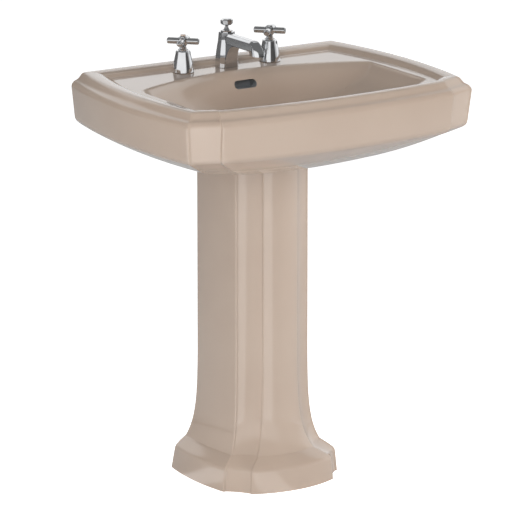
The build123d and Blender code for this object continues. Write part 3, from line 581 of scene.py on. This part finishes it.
def basinRings():  # round the outside, down the bowl, and back along the inside
    size = basinShape
    rings = [planRing(plan) for plan in outsideChain()]
    offset = rings[-1][:, :2] - (0.0, size["drainY"])
    angles = np.arctan2(offset[:, 1], offset[:, 0])
    rings += bowlRings(angles, size["bowlDepth"], 0.0, lipRows, bowlRounds)
    floorZ = size["deckZ"] - size["bowlDepth"]
    rings.append(circleRing(angles, size["floorR"], floorZ - size["floorDish"]))
    rings.append(circleRing(angles, size["drainR"], floorZ - size["drainDip"]))
    rings.append(circleRing(angles, size["drainR"], floorZ - size["floorWall"]))
    shellDepth = size["bowlDepth"] + size["floorWall"]
    shell = bowlRings(angles, shellDepth, size["wall"], lipRows[-1:], shellRounds)
    under = size["deckZ"] - size["deckWall"]
    shell = [ring for ring in shell[::-1] if ring[0, 2] < under - size["shellGap"]]
    rings += shell + [atHeight(shell[-1][:, :2], under)]
    return rings + [planRing(plan) for plan in insideChain()]


def makeBasin():
    size = basinShape
    basin = newPiece("basinChina", basinRings(), True)
    print("basin body", len(basin.data.vertices), "points")
    low = (-size["accessHalf"], size["accessY"], size["neckZ"] - overCut)
    high = (size["accessHalf"], size["wallY"] + overCut, size["accessTopZ"])
    carve(basin, boxCutter(low, high), "DIFFERENCE")
    for x in (-size["hangerX"], size["hangerX"]):
        start, end = ((x, y, size["hangerZ"]) for y in (size["hangerFromY"], size["hangerToY"]))
        carve(basin, roundCutter(size["hangerR"], start, end), "DIFFERENCE")
    cutOverflow(basin)
    shadeSmooth(basin)
    dress(basin, "basin")


def backWallY(drop):
    size = basinShape
    downs = [0.0] + [row[0] for row in bowlShares]
    backs = [0.0] + [row[2] for row in bowlShares]
    return size["bowlBackY"] - size["bowlBackIn"] * float(np.interp(drop / size["bowlDepth"], downs, backs))


def overflowOutline(spread):  # from the slot down behind the bowl to the drain
    size = basinShape
    drops = [size["slotDrop"] - size["slotHeight"] / 2 - spread]
    drops += [share * size["bowlDepth"] for share in passageShares]
    front = [(backWallY(drop) + size["wall"] - spread, size["deckZ"] - drop) for drop in drops]
    back = [(y + size["slotDeep"] + 2 * spread, z) for y, z in front]
    floorZ = size["deckZ"] - size["bowlDepth"]
    top = floorZ - size["floorWall"] * floorShares["top"] + spread * ribLift
    low = floorZ - size["floorWall"] * floorShares["low"]
    mouth = size["drainY"] + size["drainR"] - size["mouthIn"]
    return front + [(front[-1][0], top), (mouth, top), (mouth, low), (back[-1][0], low)] + back[::-1]


def slotCutter():
    size = basinShape
    radius = size["slotHeight"] / 2
    half = size["slotWidth"] / 2 - radius
    turns = np.linspace(-math.pi / 2, math.pi / 2, slotCount)
    right = np.column_stack((half + radius * np.cos(turns), radius * np.sin(turns)))
    slot = np.concatenate((right, -right))
    z = size["deckZ"] - size["slotDrop"]
    reach = backWallY(size["slotDrop"]) + size["wall"] + size["slotDeep"] / 2
    ends = (reach - 3 * size["wall"], reach)  # from inside the bowl, through its wall
    # the slot's cut faces take the dark painted shade
    return solidCutter([np.array([(x, y, z + up) for x, up in slot]) for y in ends], "passage")


def cutOverflow(basin):
    half, rib = basinShape["slotWidth"] / 2, basinShape["slotRib"]
    carve(basin, pushedCutter(overflowOutline(rib), half + rib, "china"), "UNION")
    # the passage's cut faces take the dark painted shade
    carve(basin, pushedCutter(overflowOutline(0.0), half, "passage"), "DIFFERENCE")
    carve(basin, slotCutter(), "DIFFERENCE")


# Pedestal

pedestalShape = {
    "height": 645.0, "shaftHalf": 84.5, "shaftBow": 4.5, "shaftFrontHalf": 40.5, "shaftFrontY": -19.5,
    "shaftSideY": 11.0, "shaftBackY": 157.0, "shaftFrontBow": 9.5,
    "ledgeHalf": 110.0, "ledgeBackHalf": 113.5, "ledgeBow": 6.5, "ledgeFrontHalf": 68.0,
    "ledgeFrontY": -44.0, "ledgeSideY": -7.0, "ledgeBackY": 164.0, "ledgeFrontBow": 17.0,
    "ledgeZ": 64.5, "ledgeRound": 1.2, "lip": 4.5, "lipRise": 2.5, "lipRound": 0.8,
    "flareDecay": 42.0, "flareTop": 4.6, "baseHalf": 135.5, "baseBow": 10.0, "baseFrontHalf": 97.0,
    "baseFrontY": -66.0, "baseSideY": -22.0, "baseBackY": 176.5, "baseFrontBow": 22.5,
    "footIn": 0.3, "footEdgeZ": 2.0, "step": 5.0, "plinthZ": 46.5, "plinthRound": 6.0, "splay": 4.5,
    "backSplay": 7.0, "ogee": 0.45, "ogeeRound": 5.0, "wall": 14.0, "ridgeSoft": 10.0,
    "creaseSoft": 1.6, "backSoft": 3.0, "hollow": 3.0, "footFlange": 52.0, "footThick": 14.0,
    "boltX": 112.0, "boltY": 90.0, "boltR": 5.0,
}
flareSteps = 40
openCount = 3  # points on the two narrow back edges


def widthPlan(stem, z):
    size = pedestalShape
    half, frontY = size[stem + "Half"], size[stem + "FrontY"]
    backHalf = size.get(stem + "BackHalf", half)
    return Plan(
        size[stem + "BackY"], backHalf, (backHalf + half) / 2 + size[stem + "Bow"], half,
        size[stem + "SideY"], size[stem + "FrontHalf"], frontY, frontY - size[stem + "FrontBow"],
        size["step"], z,
    )


def shaftPlan():
    return widthPlan("shaft", pedestalShape["height"])


def pedestalChain():
    size = pedestalShape
    base = widthPlan("base", 0.0)
    ledge = widthPlan("ledge", size["ledgeZ"])
    flareFoot = insetPlan(ledge, size["lip"], 0, size["ledgeZ"] + size["lipRise"])
    plinth = insetPlan(base, size["splay"], size["backSplay"], size["plinthZ"])
    ogee = blendPlan(plinth, ledge, size["ogee"])._replace(z=(size["plinthZ"] + size["ledgeZ"]) / 2)
    levels = [(base, 0), (insetPlan(base, size["footIn"], 0, size["footEdgeZ"]), 0)]
    levels += [(plinth, size["plinthRound"]), (ogee, size["ogeeRound"])]
    levels += [(ledge, size["ledgeRound"]), (flareFoot, size["lipRound"])]
    for i in range(1, flareSteps):
        rise = (i / flareSteps) ** 2 * size["flareTop"]
        flared = blendPlan(shaftPlan(), flareFoot, math.exp(-rise))
        levels.append((flared._replace(z=flareFoot.z + rise * size["flareDecay"]), 0))
    levels.append((shaftPlan(), 0))
    return roundChain(levels)


def shellRing(plan, thick):  # a C outline, open at the back
    size = pedestalShape
    inner = insetPlan(plan, thick)._replace(backY=plan.backY)
    outside = aroundFront(plan, size["hollow"])
    inside = [flipped(edge) for edge in aroundFront(inner, size["hollow"])[::-1]]
    left = lineEdge((-plan.backW, plan.backY), (-inner.backW, plan.backY))
    right = lineEdge((inner.backW, plan.backY), (plan.backW, plan.backY))
    soft = [size["backSoft"]] + stepCuts(size["ridgeSoft"], size["creaseSoft"]) + [size["backSoft"]]
    counts = planCounts + [openCount]
    return atHeight(cornerRing(outside + [left] + inside + [right], soft * 2, counts * 2), plan.z)


def makePedestal():
    size = pedestalShape
    chain = pedestalChain()
    low = blendPlan(chain[1], chain[2], (size["footThick"] - chain[1].z) / (chain[2].z - chain[1].z))
    rings = [shellRing(plan, size["footFlange"]) for plan in chain[:2] + [low]]
    rings += [shellRing(plan, size["wall"]) for plan in [low] + chain[2:]]
    pedestal = newPiece("pedestalChina", rings, False, True)
    for x in (-size["boltX"], size["boltX"]):
        start, end = ((x, size["boltY"], z) for z in (-overCut, size["footThick"] + overCut))
        carve(pedestal, roundCutter(size["boltR"], start, end), "DIFFERENCE")
    shadeSmooth(pedestal)
    dress(pedestal, "pedestal")
    print("pedestal", len(pedestal.data.vertices), "points")


makeBasin()
makePedestal()


# Handles and the bells under them, one set on each side

tapShape = {
    "x": 101.6, "y": 179.3, "footZ": 811.6, "topZ": 854.5, "footR": 22.1, "topR": 14.6, "stepR": 10.0,
    "step": 3.5, "neckR": 7.3, "boreR": 5.25, "roomR": 11.6, "roomZ": 846.8, "collarR": 18.45,
    "collarZ": 816.0, "rounding": 0.5, "bevel": 0.6, "hubLowZ": 861.8, "midZ": 873.5, "hubR": 10.4,
    "hubHalf": 8.0, "hubBoreR": 5.0, "armFrom": 1.0, "armR": 6.4, "armReach": 32.2, "tip": 2.4,
}
bellFlare = [  # share of the height, and how much of the flare is left
    (0.0, 1.0), (0.2, 0.86), (0.4, 0.655), (0.6, 0.43), (0.8, 0.18), (1.0, 0.0),
]
bellHeights = np.linspace(0.015, 0.98, 24)  # shares of the height between its bevels
hubFoot = [(0.78, 0.0), (0.9, 2.1)]  # share of the neck's radius, and rise
hubRows = [  # shares of the hub's radius, and of its half height up from its middle
    (0.86, -0.78), (0.95, -0.58), (1.0, -0.35), (1.0, 0.45), (0.97, 0.75), (0.9, 0.93), (0.8, 1.0),
]
hubCount, armCount, tipSteps = 64, 48, 6


def turnedRing(x, radius, z, sided, count=128, turn=0.0):  # sided is 0 for a circle and 1 for an octagon
    turns = np.arange(count) * 2 * math.pi / count
    eighth = math.pi / 4
    flats = math.cos(eighth / 2) / np.cos((turns + turn) % eighth - eighth / 2)
    reach = radius * (1 + sided * (flats - 1))
    ring = np.column_stack((x + reach * np.cos(turns), tapShape["y"] + reach * np.sin(turns)))
    return atHeight(ring, z)


def flaredRows(size, flare, heights, sided):  # radius, height and shape of the rings up a flared foot
    rows = []
    for up in heights:
        out = float(np.interp(up, *zip(*flare)))
        radius = size["topR"] + (size["footR"] - size["topR"]) * out
        rows.append((radius, size["footZ"] + (size["topZ"] - size["footZ"]) * up, sided))
    return rows


def bellRows():
    size, cut = tapShape, tapShape["bevel"]
    sided = 1 - size["rounding"]
    top, stepR, neckR = size["topZ"], size["stepR"], size["neckR"]
    shoulder, neck = top + size["step"], top + 2 * size["step"]
    rows = [(size["footR"] - cut, size["footZ"], sided)] + flaredRows(size, bellFlare, bellHeights, sided)
    rows += [(size["topR"] - cut, top, sided), (stepR + cut, top, sided), (stepR, top + cut, sided)]
    rows += [(stepR, shoulder - cut, sided), (stepR - cut, shoulder, sided), (neckR + cut, shoulder, 0)]
    rows += [(neckR, shoulder + cut, 0), (neckR, neck - cut, 0), (neckR - cut, neck, 0)]
    inside = [("boreR", neck), ("boreR", size["roomZ"]), ("roomR", size["roomZ"])]
    inside += [("roomR", size["collarZ"]), ("collarR", size["collarZ"]), ("collarR", size["footZ"])]
    return rows + [(size[label], z, 0) for label, z in inside]


def makeBell(name, x):
    bell = newPiece(name + "Chrome", [turnedRing(x, *row) for row in bellRows()], True, finish="chrome")
    shadeSmooth(bell)
    dress(bell, name)


def handleArm(x, turn):
    size = tapShape
    axis = np.array((math.cos(turn), math.sin(turn), 0.0))
    side = np.array((-axis[1], axis[0], 0.0))
    up = np.array((0.0, 0.0, 1.0))
    rows = [(size["armFrom"], size["armR"])]
    for k in range(tipSteps + 1):
        bend = k / tipSteps * math.pi / 2
        along = size["armReach"] - size["tip"] * (1 - math.sin(bend))
        rows.append((along, size["armR"] - size["tip"] * (1 - math.cos(bend))))
    turns = np.arange(armCount) * 2 * math.pi / armCount
    circle = np.cos(turns)[:, None] * side + np.sin(turns)[:, None] * up
    middle = np.array((x, size["y"], size["midZ"]))
    return solidCutter([middle + axis * along + circle * radius for along, radius in rows], "chrome")


def makeHandle(name, x, body):
    size = tapShape
    top = size["midZ"] + size["hubHalf"]
    rows = [(size["hubBoreR"], size["hubLowZ"])]
    rows += [(size["neckR"] * share, size["hubLowZ"] + rise) for share, rise in hubFoot]
    rows += [(size["hubR"] * out, size["midZ"] + size["hubHalf"] * up) for out, up in hubRows]
    rows.append((size["hubBoreR"], top))
    rings = [turnedRing(x, *row, 0, hubCount) for row in rows]
    handle = newPiece(name + "Chrome", rings, True, finish="chrome")
    for quarter in range(4):
        carve(handle, handleArm(x, math.pi / 4 + quarter * math.pi / 2), "UNION")
    start, end = ((x, size["y"], z) for z in (size["hubLowZ"] - overCut, top + overCut))
    carve(handle, roundCutter(size["hubBoreR"], start, end), "DIFFERENCE")
    shadeSmooth(handle)
    dress(handle, name, body)


for tapName, tapX in (("hot", -tapShape["x"]), ("cold", tapShape["x"])):
    makeBell(tapName + "_bell", tapX)
    makeHandle(tapName + "_handle", tapX, tapName + "_turn")


# Spout

spoutShape = {
    "footR": 23.3, "topR": 16.0, "footZ": 811.6, "topZ": 881.5, "stepR": 11.7, "step": 3.0, "coneR": 7.2,
    "coneTopR": 4.6, "cone": 4.5, "half": 11.0, "high": 879.5, "low": 859.0, "edge": 4.5, "soft": 1.0,
    "flare": 4.5, "overlap": 1.0, "heel": 17.0, "run": 26.0, "archFoot": 2.0, "archAhead": 20.0,
    "archHalf": 40.0, "armEndY": 73.3, "noseY": 68.3, "boreR": 7.45, "boreLow": 839.0, "boreTop": 862.5,
    "rodR": 2.55, "socketR": 14.03, "socket": 10.0, "facetPlace": (8.3, 60.0, 868.0),
    "facetLean": (0.83, -0.52, 0.207), "facetReach": 30.0, "sharpAngle": 25,
}
spoutFlare = [  # share of the height, and how much of the flare is left
    (0.0, 1.0), (0.12, 0.98), (0.26, 0.92), (0.4, 0.79), (0.52, 0.62), (0.64, 0.42), (0.76, 0.22), (1.0, 0.0),
]
spoutHeights = np.linspace(0.0, 1.0, 30)
noseRows = [  # back and down from the arm's end: its top, then its underside
    ((5.0, 0.0), (9.0, 0.0)), ((1.0, 0.3), (7.0, 0.4)), ((-3.0, 2.2), (5.8, 1.8)),
    ((-9.0, 7.0), (5.0, 3.6)), ((-15.5, 13.6), (4.6, 5.4)), ((-20.0, 19.6), (4.4, 6.8)),
    ((-22.4, 24.6), (4.3, 7.5)), ((-23.0, 28.0), (4.3, 7.5)),
]
archCount, armCornerCount = 20, 4


def spoutColumn():
    size = spoutShape
    stepTop = size["topZ"] + size["step"]
    rows = flaredRows(size, spoutFlare, spoutHeights, 1.0)
    rows += [(size["stepR"], size["topZ"], 1.0), (size["stepR"], stepTop, 1.0)]
    rows += [(size["coneR"], stepTop, 1.0), (size["coneTopR"], stepTop + size["cone"], 1.0)]
    rings = [turnedRing(0.0, *row, turn=math.pi / 8) for row in rows]  # so that a flat faces the front
    return newPiece("spoutChrome", rings, False, True, "chrome")


def spoutWeb(back, front):  # fills the corner between the column and the arm
    size = spoutShape
    foot, top = (size["half"] + size["flare"], size["footZ"]), (size["half"], size["low"] + size["overlap"])
    rings = []
    for half, z in (foot, top):
        rings.append(np.array([(-half, back, z), (half, back, z), (half, front, z), (-half, front, z)]))
    return solidCutter(rings, "chrome")


def spoutArch(heel, front):  # the open space under the arm, a quarter ellipse at its back
    size = spoutShape
    footZ, underZ = size["footZ"] + size["archFoot"], size["footZ"] - overCut
    outline = []
    for turn in np.linspace(0.0, math.pi / 2, archCount):
        outline.append((front + size["run"] * math.cos(turn), footZ + (size["low"] - footZ) * math.sin(turn)))
    ahead = front - size["archAhead"]
    outline += [(ahead, size["low"]), (ahead, underZ), (heel, underZ)]
    return pushedCutter(outline, size["archHalf"], "chrome")


def armRing(top, under):
    size, half = spoutShape, spoutShape["half"]
    tall = math.dist(top, under)
    side, cut = tall - size["edge"], half - size["edge"]
    corners = [(-half, 0.0), (half, 0.0), (half, side), (cut, tall), (-cut, tall), (-half, side)]
    count = len(corners)
    edges = [lineEdge(corners[i], corners[(i + 1) % count]) for i in range(count)]
    section = cornerRing(edges, [size["soft"]] * count, [1] * count, armCornerCount)
    lean = (np.array(top) - under) / tall
    return np.array([(u, under[0] + lean[0] * w, under[1] + lean[1] * w) for u, w in section])


def spoutArm(startY):
    size = spoutShape
    rings = [armRing((startY, size["high"]), (startY, size["low"]))]
    for (topBack, topDown), (underBack, underDown) in noseRows:
        top = (size["armEndY"] + topBack, size["high"] - topDown)
        rings.append(armRing(top, (size["armEndY"] + underBack, size["low"] - underDown)))
    return solidCutter(rings, "chrome")


def boreSpout(spout, middleY):
    size = spoutShape
    underZ, coneTop = size["footZ"] - overCut, size["topZ"] + size["step"] + size["cone"]
    for radius, y, low, high in (
        (size["boreR"], size["noseY"], size["boreLow"], size["boreTop"]),
        (size["rodR"], middleY, underZ, coneTop + overCut),
        (size["socketR"], middleY, underZ, size["footZ"] + size["socket"]),
    ):
        carve(spout, roundCutter(radius, (0.0, y, low), (0.0, y, high), "chrome"), "DIFFERENCE")


def flattenNose(spout):  # a flat on each front edge of the nose
    size = spoutShape
    for side in (-1, 1):
        place, lean = (np.array(size[label]) * (side, 1, 1) for label in ("facetPlace", "facetLean"))
        cutter = roundCutter(size["facetReach"], place, place + lean * size["facetReach"], "chrome")
        carve(spout, cutter, "DIFFERENCE")


def makeSpout():
    middleY = tapShape["y"]
    heel = middleY - spoutShape["heel"]
    front = heel - spoutShape["run"]
    spout = spoutColumn()
    carve(spout, spoutWeb(middleY, front), "UNION")
    carve(spout, spoutArch(heel, front), "DIFFERENCE")
    carve(spout, spoutArm(middleY), "UNION")
    boreSpout(spout, middleY)
    flattenNose(spout)
    shadeSmooth(spout, spoutShape["sharpAngle"])
    dress(spout, "spout_body")


makeSpout()
print("bells, handles and spout made")


# Other metal and rubber pieces keep their solids, with softened edges

edgeSoftening = {"chrome": 0.45, "brass": 0.3, "steel": 0.15, "rubber": 0.2}
softenedFrom = 25  # degrees; only joins that bend more are softened
slotOf = {row["node"]: row["material_slot"] for row in frame["record"]["subparts"]}


def dressNode(name):
    node, finish = frame["nodes"][name], slotOf[name]
    node.data.materials.clear()
    node.data.materials.append(finishes[finish])
    weld = node.modifiers.new("weld", "WELD")
    weld.merge_threshold = weldGap * mm
    soften = node.modifiers.new("soften", "BEVEL")
    soften.width = edgeSoftening[finish] * mm
    soften.segments = 2
    soften.limit_method = "ANGLE"
    soften.angle_limit = math.radians(softenedFrom)
    soften.use_clamp_overlap = True
    soften.harden_normals = False


rebuilt = {"basin", "pedestal", "hot_bell", "cold_bell", "hot_handle", "cold_handle", "spout_body"}
for nodeName in frame["nodes"]:
    if nodeName not in rebuilt:
        dressNode(nodeName)
print("fittings dressed")


# Studio: floor, light and camera

studio = {
    "floorHalf": 30.0, "floorTone": (0.86, 0.86, 0.86, 1), "floorRoughness": 0.7, "floorLift": 0.86,
    "glowMiddle": (0.0, 0.05, 0.0), "glowTurns": (-103.0, -12.0), "glowSpan": (0.955, 0.985),
    "glowLevel": 1.0,
    "skySpan": (0.0, 0.9), "horizonLevel": 0.06, "zenithLevel": 0.04,
    "whiteSpan": (0.24, 0.48), "mirrorTop": 0.17,
    "backSide": (0.643, 0.766, 0.0), "backSpan": (0.36, 0.54), "backLift": 0.4,
    "dimSide": (-0.643, 0.766, 0.0), "dimSpan": (0.8, 0.95), "dimLevel": 0.45,
    "lampSize": 3.0, "lampTarget": (0, 0, 0.6),
    "cardTone": (0.16, 0.16, 0.16, 1), "cardRoughness": 0.9, "cardMiddle": (0.0, 0.18), "cardReach": 0.75,
    "cardFades": (("X", 0.12), ("Y", 0.3)),
    "cameraPlace": (-4.3559, -6.7739, 2.5312), "cameraTarget": (-0.10617, -0.0961, 0.4952), "lens": 295.7,
    "sensor": 36.0, "farthest": 100.0,
}
lamps = {  # turn from the front towards the right, reach, height, power
    "leftKey": (-30.0, 4.5, 1.6, 118.0), "rightKey": (68.0, 4.5, 1.6, 138.0),
    "highFill": (-45.0, 3.2, 3.8, 55.0), "backLight": (180.0, 3.2, 3.8, 46.0),
    "leftEdge": (-100.0, 4.5, 1.1, 46.0),
}
cards = [  # turn from the front towards the right, bottom, top, width
    (218.0, 0.60, 1.25, 1.25), (23.0, 0.55, 1.25, 1.15), (152.0, 1.12, 1.75, 0.6),
]
white = (1, 1, 1, 1)


def aimAt(item, target):
    item.rotation_mode = "QUATERNION"
    item.rotation_quaternion = (Vector(target) - item.location).to_track_quat("-Z", "Y")


def aroundPlace(turn, reach, height):
    angle = math.radians(turn)
    return (reach * math.sin(angle), -reach * math.cos(angle), height)


def flatPanel(name, width, height):
    mesh = bpy.data.meshes.new(name)
    w, h = width / 2, height / 2
    mesh.from_pydata([(-w, -h, 0), (w, -h, 0), (w, h, 0), (-w, h, 0)], [], [(0, 1, 2, 3)])
    panel = bpy.data.objects.new(name, mesh)
    bpy.context.scene.collection.objects.link(panel)
    return panel


def smoothRange(tree, source, span, low, high):
    return mapRange(tree, source, span, low, high, "SMOOTHSTEP")


def pathShare(tree, labels):  # 1 for a ray of any of these kinds
    path = tree.nodes.new("ShaderNodeLightPath")
    seen = path.outputs[labels[0]]
    for label in labels[1:]:
        seen = joinValues(tree, "MAXIMUM", seen, path.outputs[label])
    return seen


def floorGlow(tree):  # two patches of the floor, left and front, that look brighter in mirrors
    place = tree.nodes.new("ShaderNodeNewGeometry").outputs["Position"]
    toward = joinVectors(tree, "NORMALIZE", joinVectors(tree, "SUBTRACT", place, studio["glowMiddle"]))
    shares = []
    for turn in studio["glowTurns"]:
        along = joinVectors(tree, "DOT_PRODUCT", toward, aroundPlace(turn, 1.0, 0.0))
        shares.append(smoothRange(tree, along, studio["glowSpan"], 0.0, studio["glowLevel"]))
    both = joinValues(tree, "ADD", *shares)
    return joinValues(tree, "MULTIPLY", both, pathShare(tree, ["Is Glossy Ray"]))


def makeFloor():
    floor = flatPanel("studioFloor", 2 * studio["floorHalf"], 2 * studio["floorHalf"])
    material = bpy.data.materials.new("paleFloor")
    material.use_nodes = True
    tree = material.node_tree
    shader = tree.nodes["Principled BSDF"]
    shader.inputs["Base Color"].default_value = studio["floorTone"]
    shader.inputs["Roughness"].default_value = studio["floorRoughness"]
    shader.inputs["Specular IOR Level"].default_value = 0.0
    shader.inputs["Emission Color"].default_value = white
    lift = joinValues(tree, "MULTIPLY", pathShare(tree, ["Is Camera Ray"]), studio["floorLift"])
    feed(tree, shader.inputs["Emission Strength"], joinValues(tree, "ADD", lift, floorGlow(tree)))
    floor.data.materials.append(material)


def skyShare(tree, direction):  # how far the ray points along a direction
    coords = tree.nodes.new("ShaderNodeTexCoord")
    return joinVectors(tree, "DOT_PRODUCT", coords.outputs["Generated"], direction)


def mirrorSky(tree):  # white near the horizon, higher at the right back, dim to the left back and right front
    lift = smoothRange(tree, skyShare(tree, studio["backSide"]), studio["backSpan"], 0.0, studio["backLift"])
    height = joinValues(tree, "SUBTRACT", skyShare(tree, (0, 0, 1)), lift)
    level = smoothRange(tree, height, studio["whiteSpan"], 1.0, studio["mirrorTop"])
    aside = joinValues(tree, "ABSOLUTE", skyShare(tree, studio["dimSide"]))
    dim = smoothRange(tree, aside, studio["dimSpan"], 1.0, studio["dimLevel"])
    return joinValues(tree, "MULTIPLY", level, dim)


def pickLevel(tree, share, off, on):
    mix = tree.nodes.new("ShaderNodeMix")
    for label, value in (("Factor", share), ("A", off), ("B", on)):
        feed(tree, mix.inputs[label], value)
    return mix.outputs["Result"]


def makeSky():
    world = bpy.data.worlds.new("studioSky")
    bpy.context.scene.world = world
    world.use_nodes = True
    tree = world.node_tree
    background = tree.nodes["Background"]
    background.inputs["Color"].default_value = white
    height = skyShare(tree, (0, 0, 1))
    soft = smoothRange(tree, height, studio["skySpan"], studio["horizonLevel"], studio["zenithLevel"])
    level = pickLevel(tree, pathShare(tree, ["Is Glossy Ray"]), soft, mirrorSky(tree))
    level = pickLevel(tree, pathShare(tree, ["Is Camera Ray", "Is Transmission Ray"]), level, 1.0)
    feed(tree, background.inputs["Strength"], level)


def areaLamp(name, turn, reach, height, power):
    lamp = bpy.data.lights.new(name, "AREA")
    lamp.shape = "SQUARE"
    lamp.energy = power
    lamp.size = studio["lampSize"]
    item = bpy.data.objects.new(name, lamp)
    bpy.context.scene.collection.objects.link(item)
    item.location = aroundPlace(turn, reach, height)
    item.visible_glossy = False
    aimAt(item, studio["lampTarget"])


def edgeFade(tree, label, reach):  # from 0 at both ends of one direction to 1 inside
    coords = tree.nodes.new("ShaderNodeTexCoord")
    split = tree.nodes.new("ShaderNodeSeparateXYZ")
    feed(tree, split.inputs["Vector"], coords.outputs["Generated"])
    fromEnd = joinValues(tree, "PINGPONG", split.outputs[label], 0.5)
    return smoothRange(tree, fromEnd, (0.0, reach), 0.0, 1.0)


def cardMaterial():
    material = bpy.data.materials.new("cardGrey")
    material.use_nodes = True
    tree = material.node_tree
    shader = tree.nodes["Principled BSDF"]
    shader.inputs["Base Color"].default_value = studio["cardTone"]
    shader.inputs["Roughness"].default_value = studio["cardRoughness"]
    fades = [edgeFade(tree, label, reach) for label, reach in studio["cardFades"]]
    feed(tree, shader.inputs["Alpha"], joinValues(tree, "MULTIPLY", *fades))
    return material


def makeCards():  # dark, seen by mirrors alone: back left, front right, and high up at the back right
    material = cardMaterial()
    middle = Vector((*studio["cardMiddle"], 0.0))
    for i, (turn, low, high, width) in enumerate(cards):
        card = flatPanel("darkCard" + str(i), width, high - low)
        card.data.materials.append(material)
        height = (low + high) / 2
        card.location = middle + Vector(aroundPlace(turn, studio["cardReach"], height))
        aimAt(card, middle + Vector((0, 0, height)))
        card.visible_camera = False
        card.visible_diffuse = False
        card.visible_shadow = False


def makeCamera():
    data = bpy.data.cameras.new("photoCamera")
    data.sensor_width = studio["sensor"]
    data.lens = studio["lens"]
    data.clip_end = studio["farthest"]
    item = bpy.data.objects.new("photoCamera", data)
    bpy.context.scene.collection.objects.link(item)
    item.location = studio["cameraPlace"]
    aimAt(item, studio["cameraTarget"])
    bpy.context.scene.camera = item


makeFloor()
makeSky()
for lampName, settings in lamps.items():
    areaLamp(lampName, *settings)
makeCards()
makeCamera()
bpy.context.scene.view_settings.view_transform = "Standard"
print("studio ready")

bpy.context.view_layer.update()
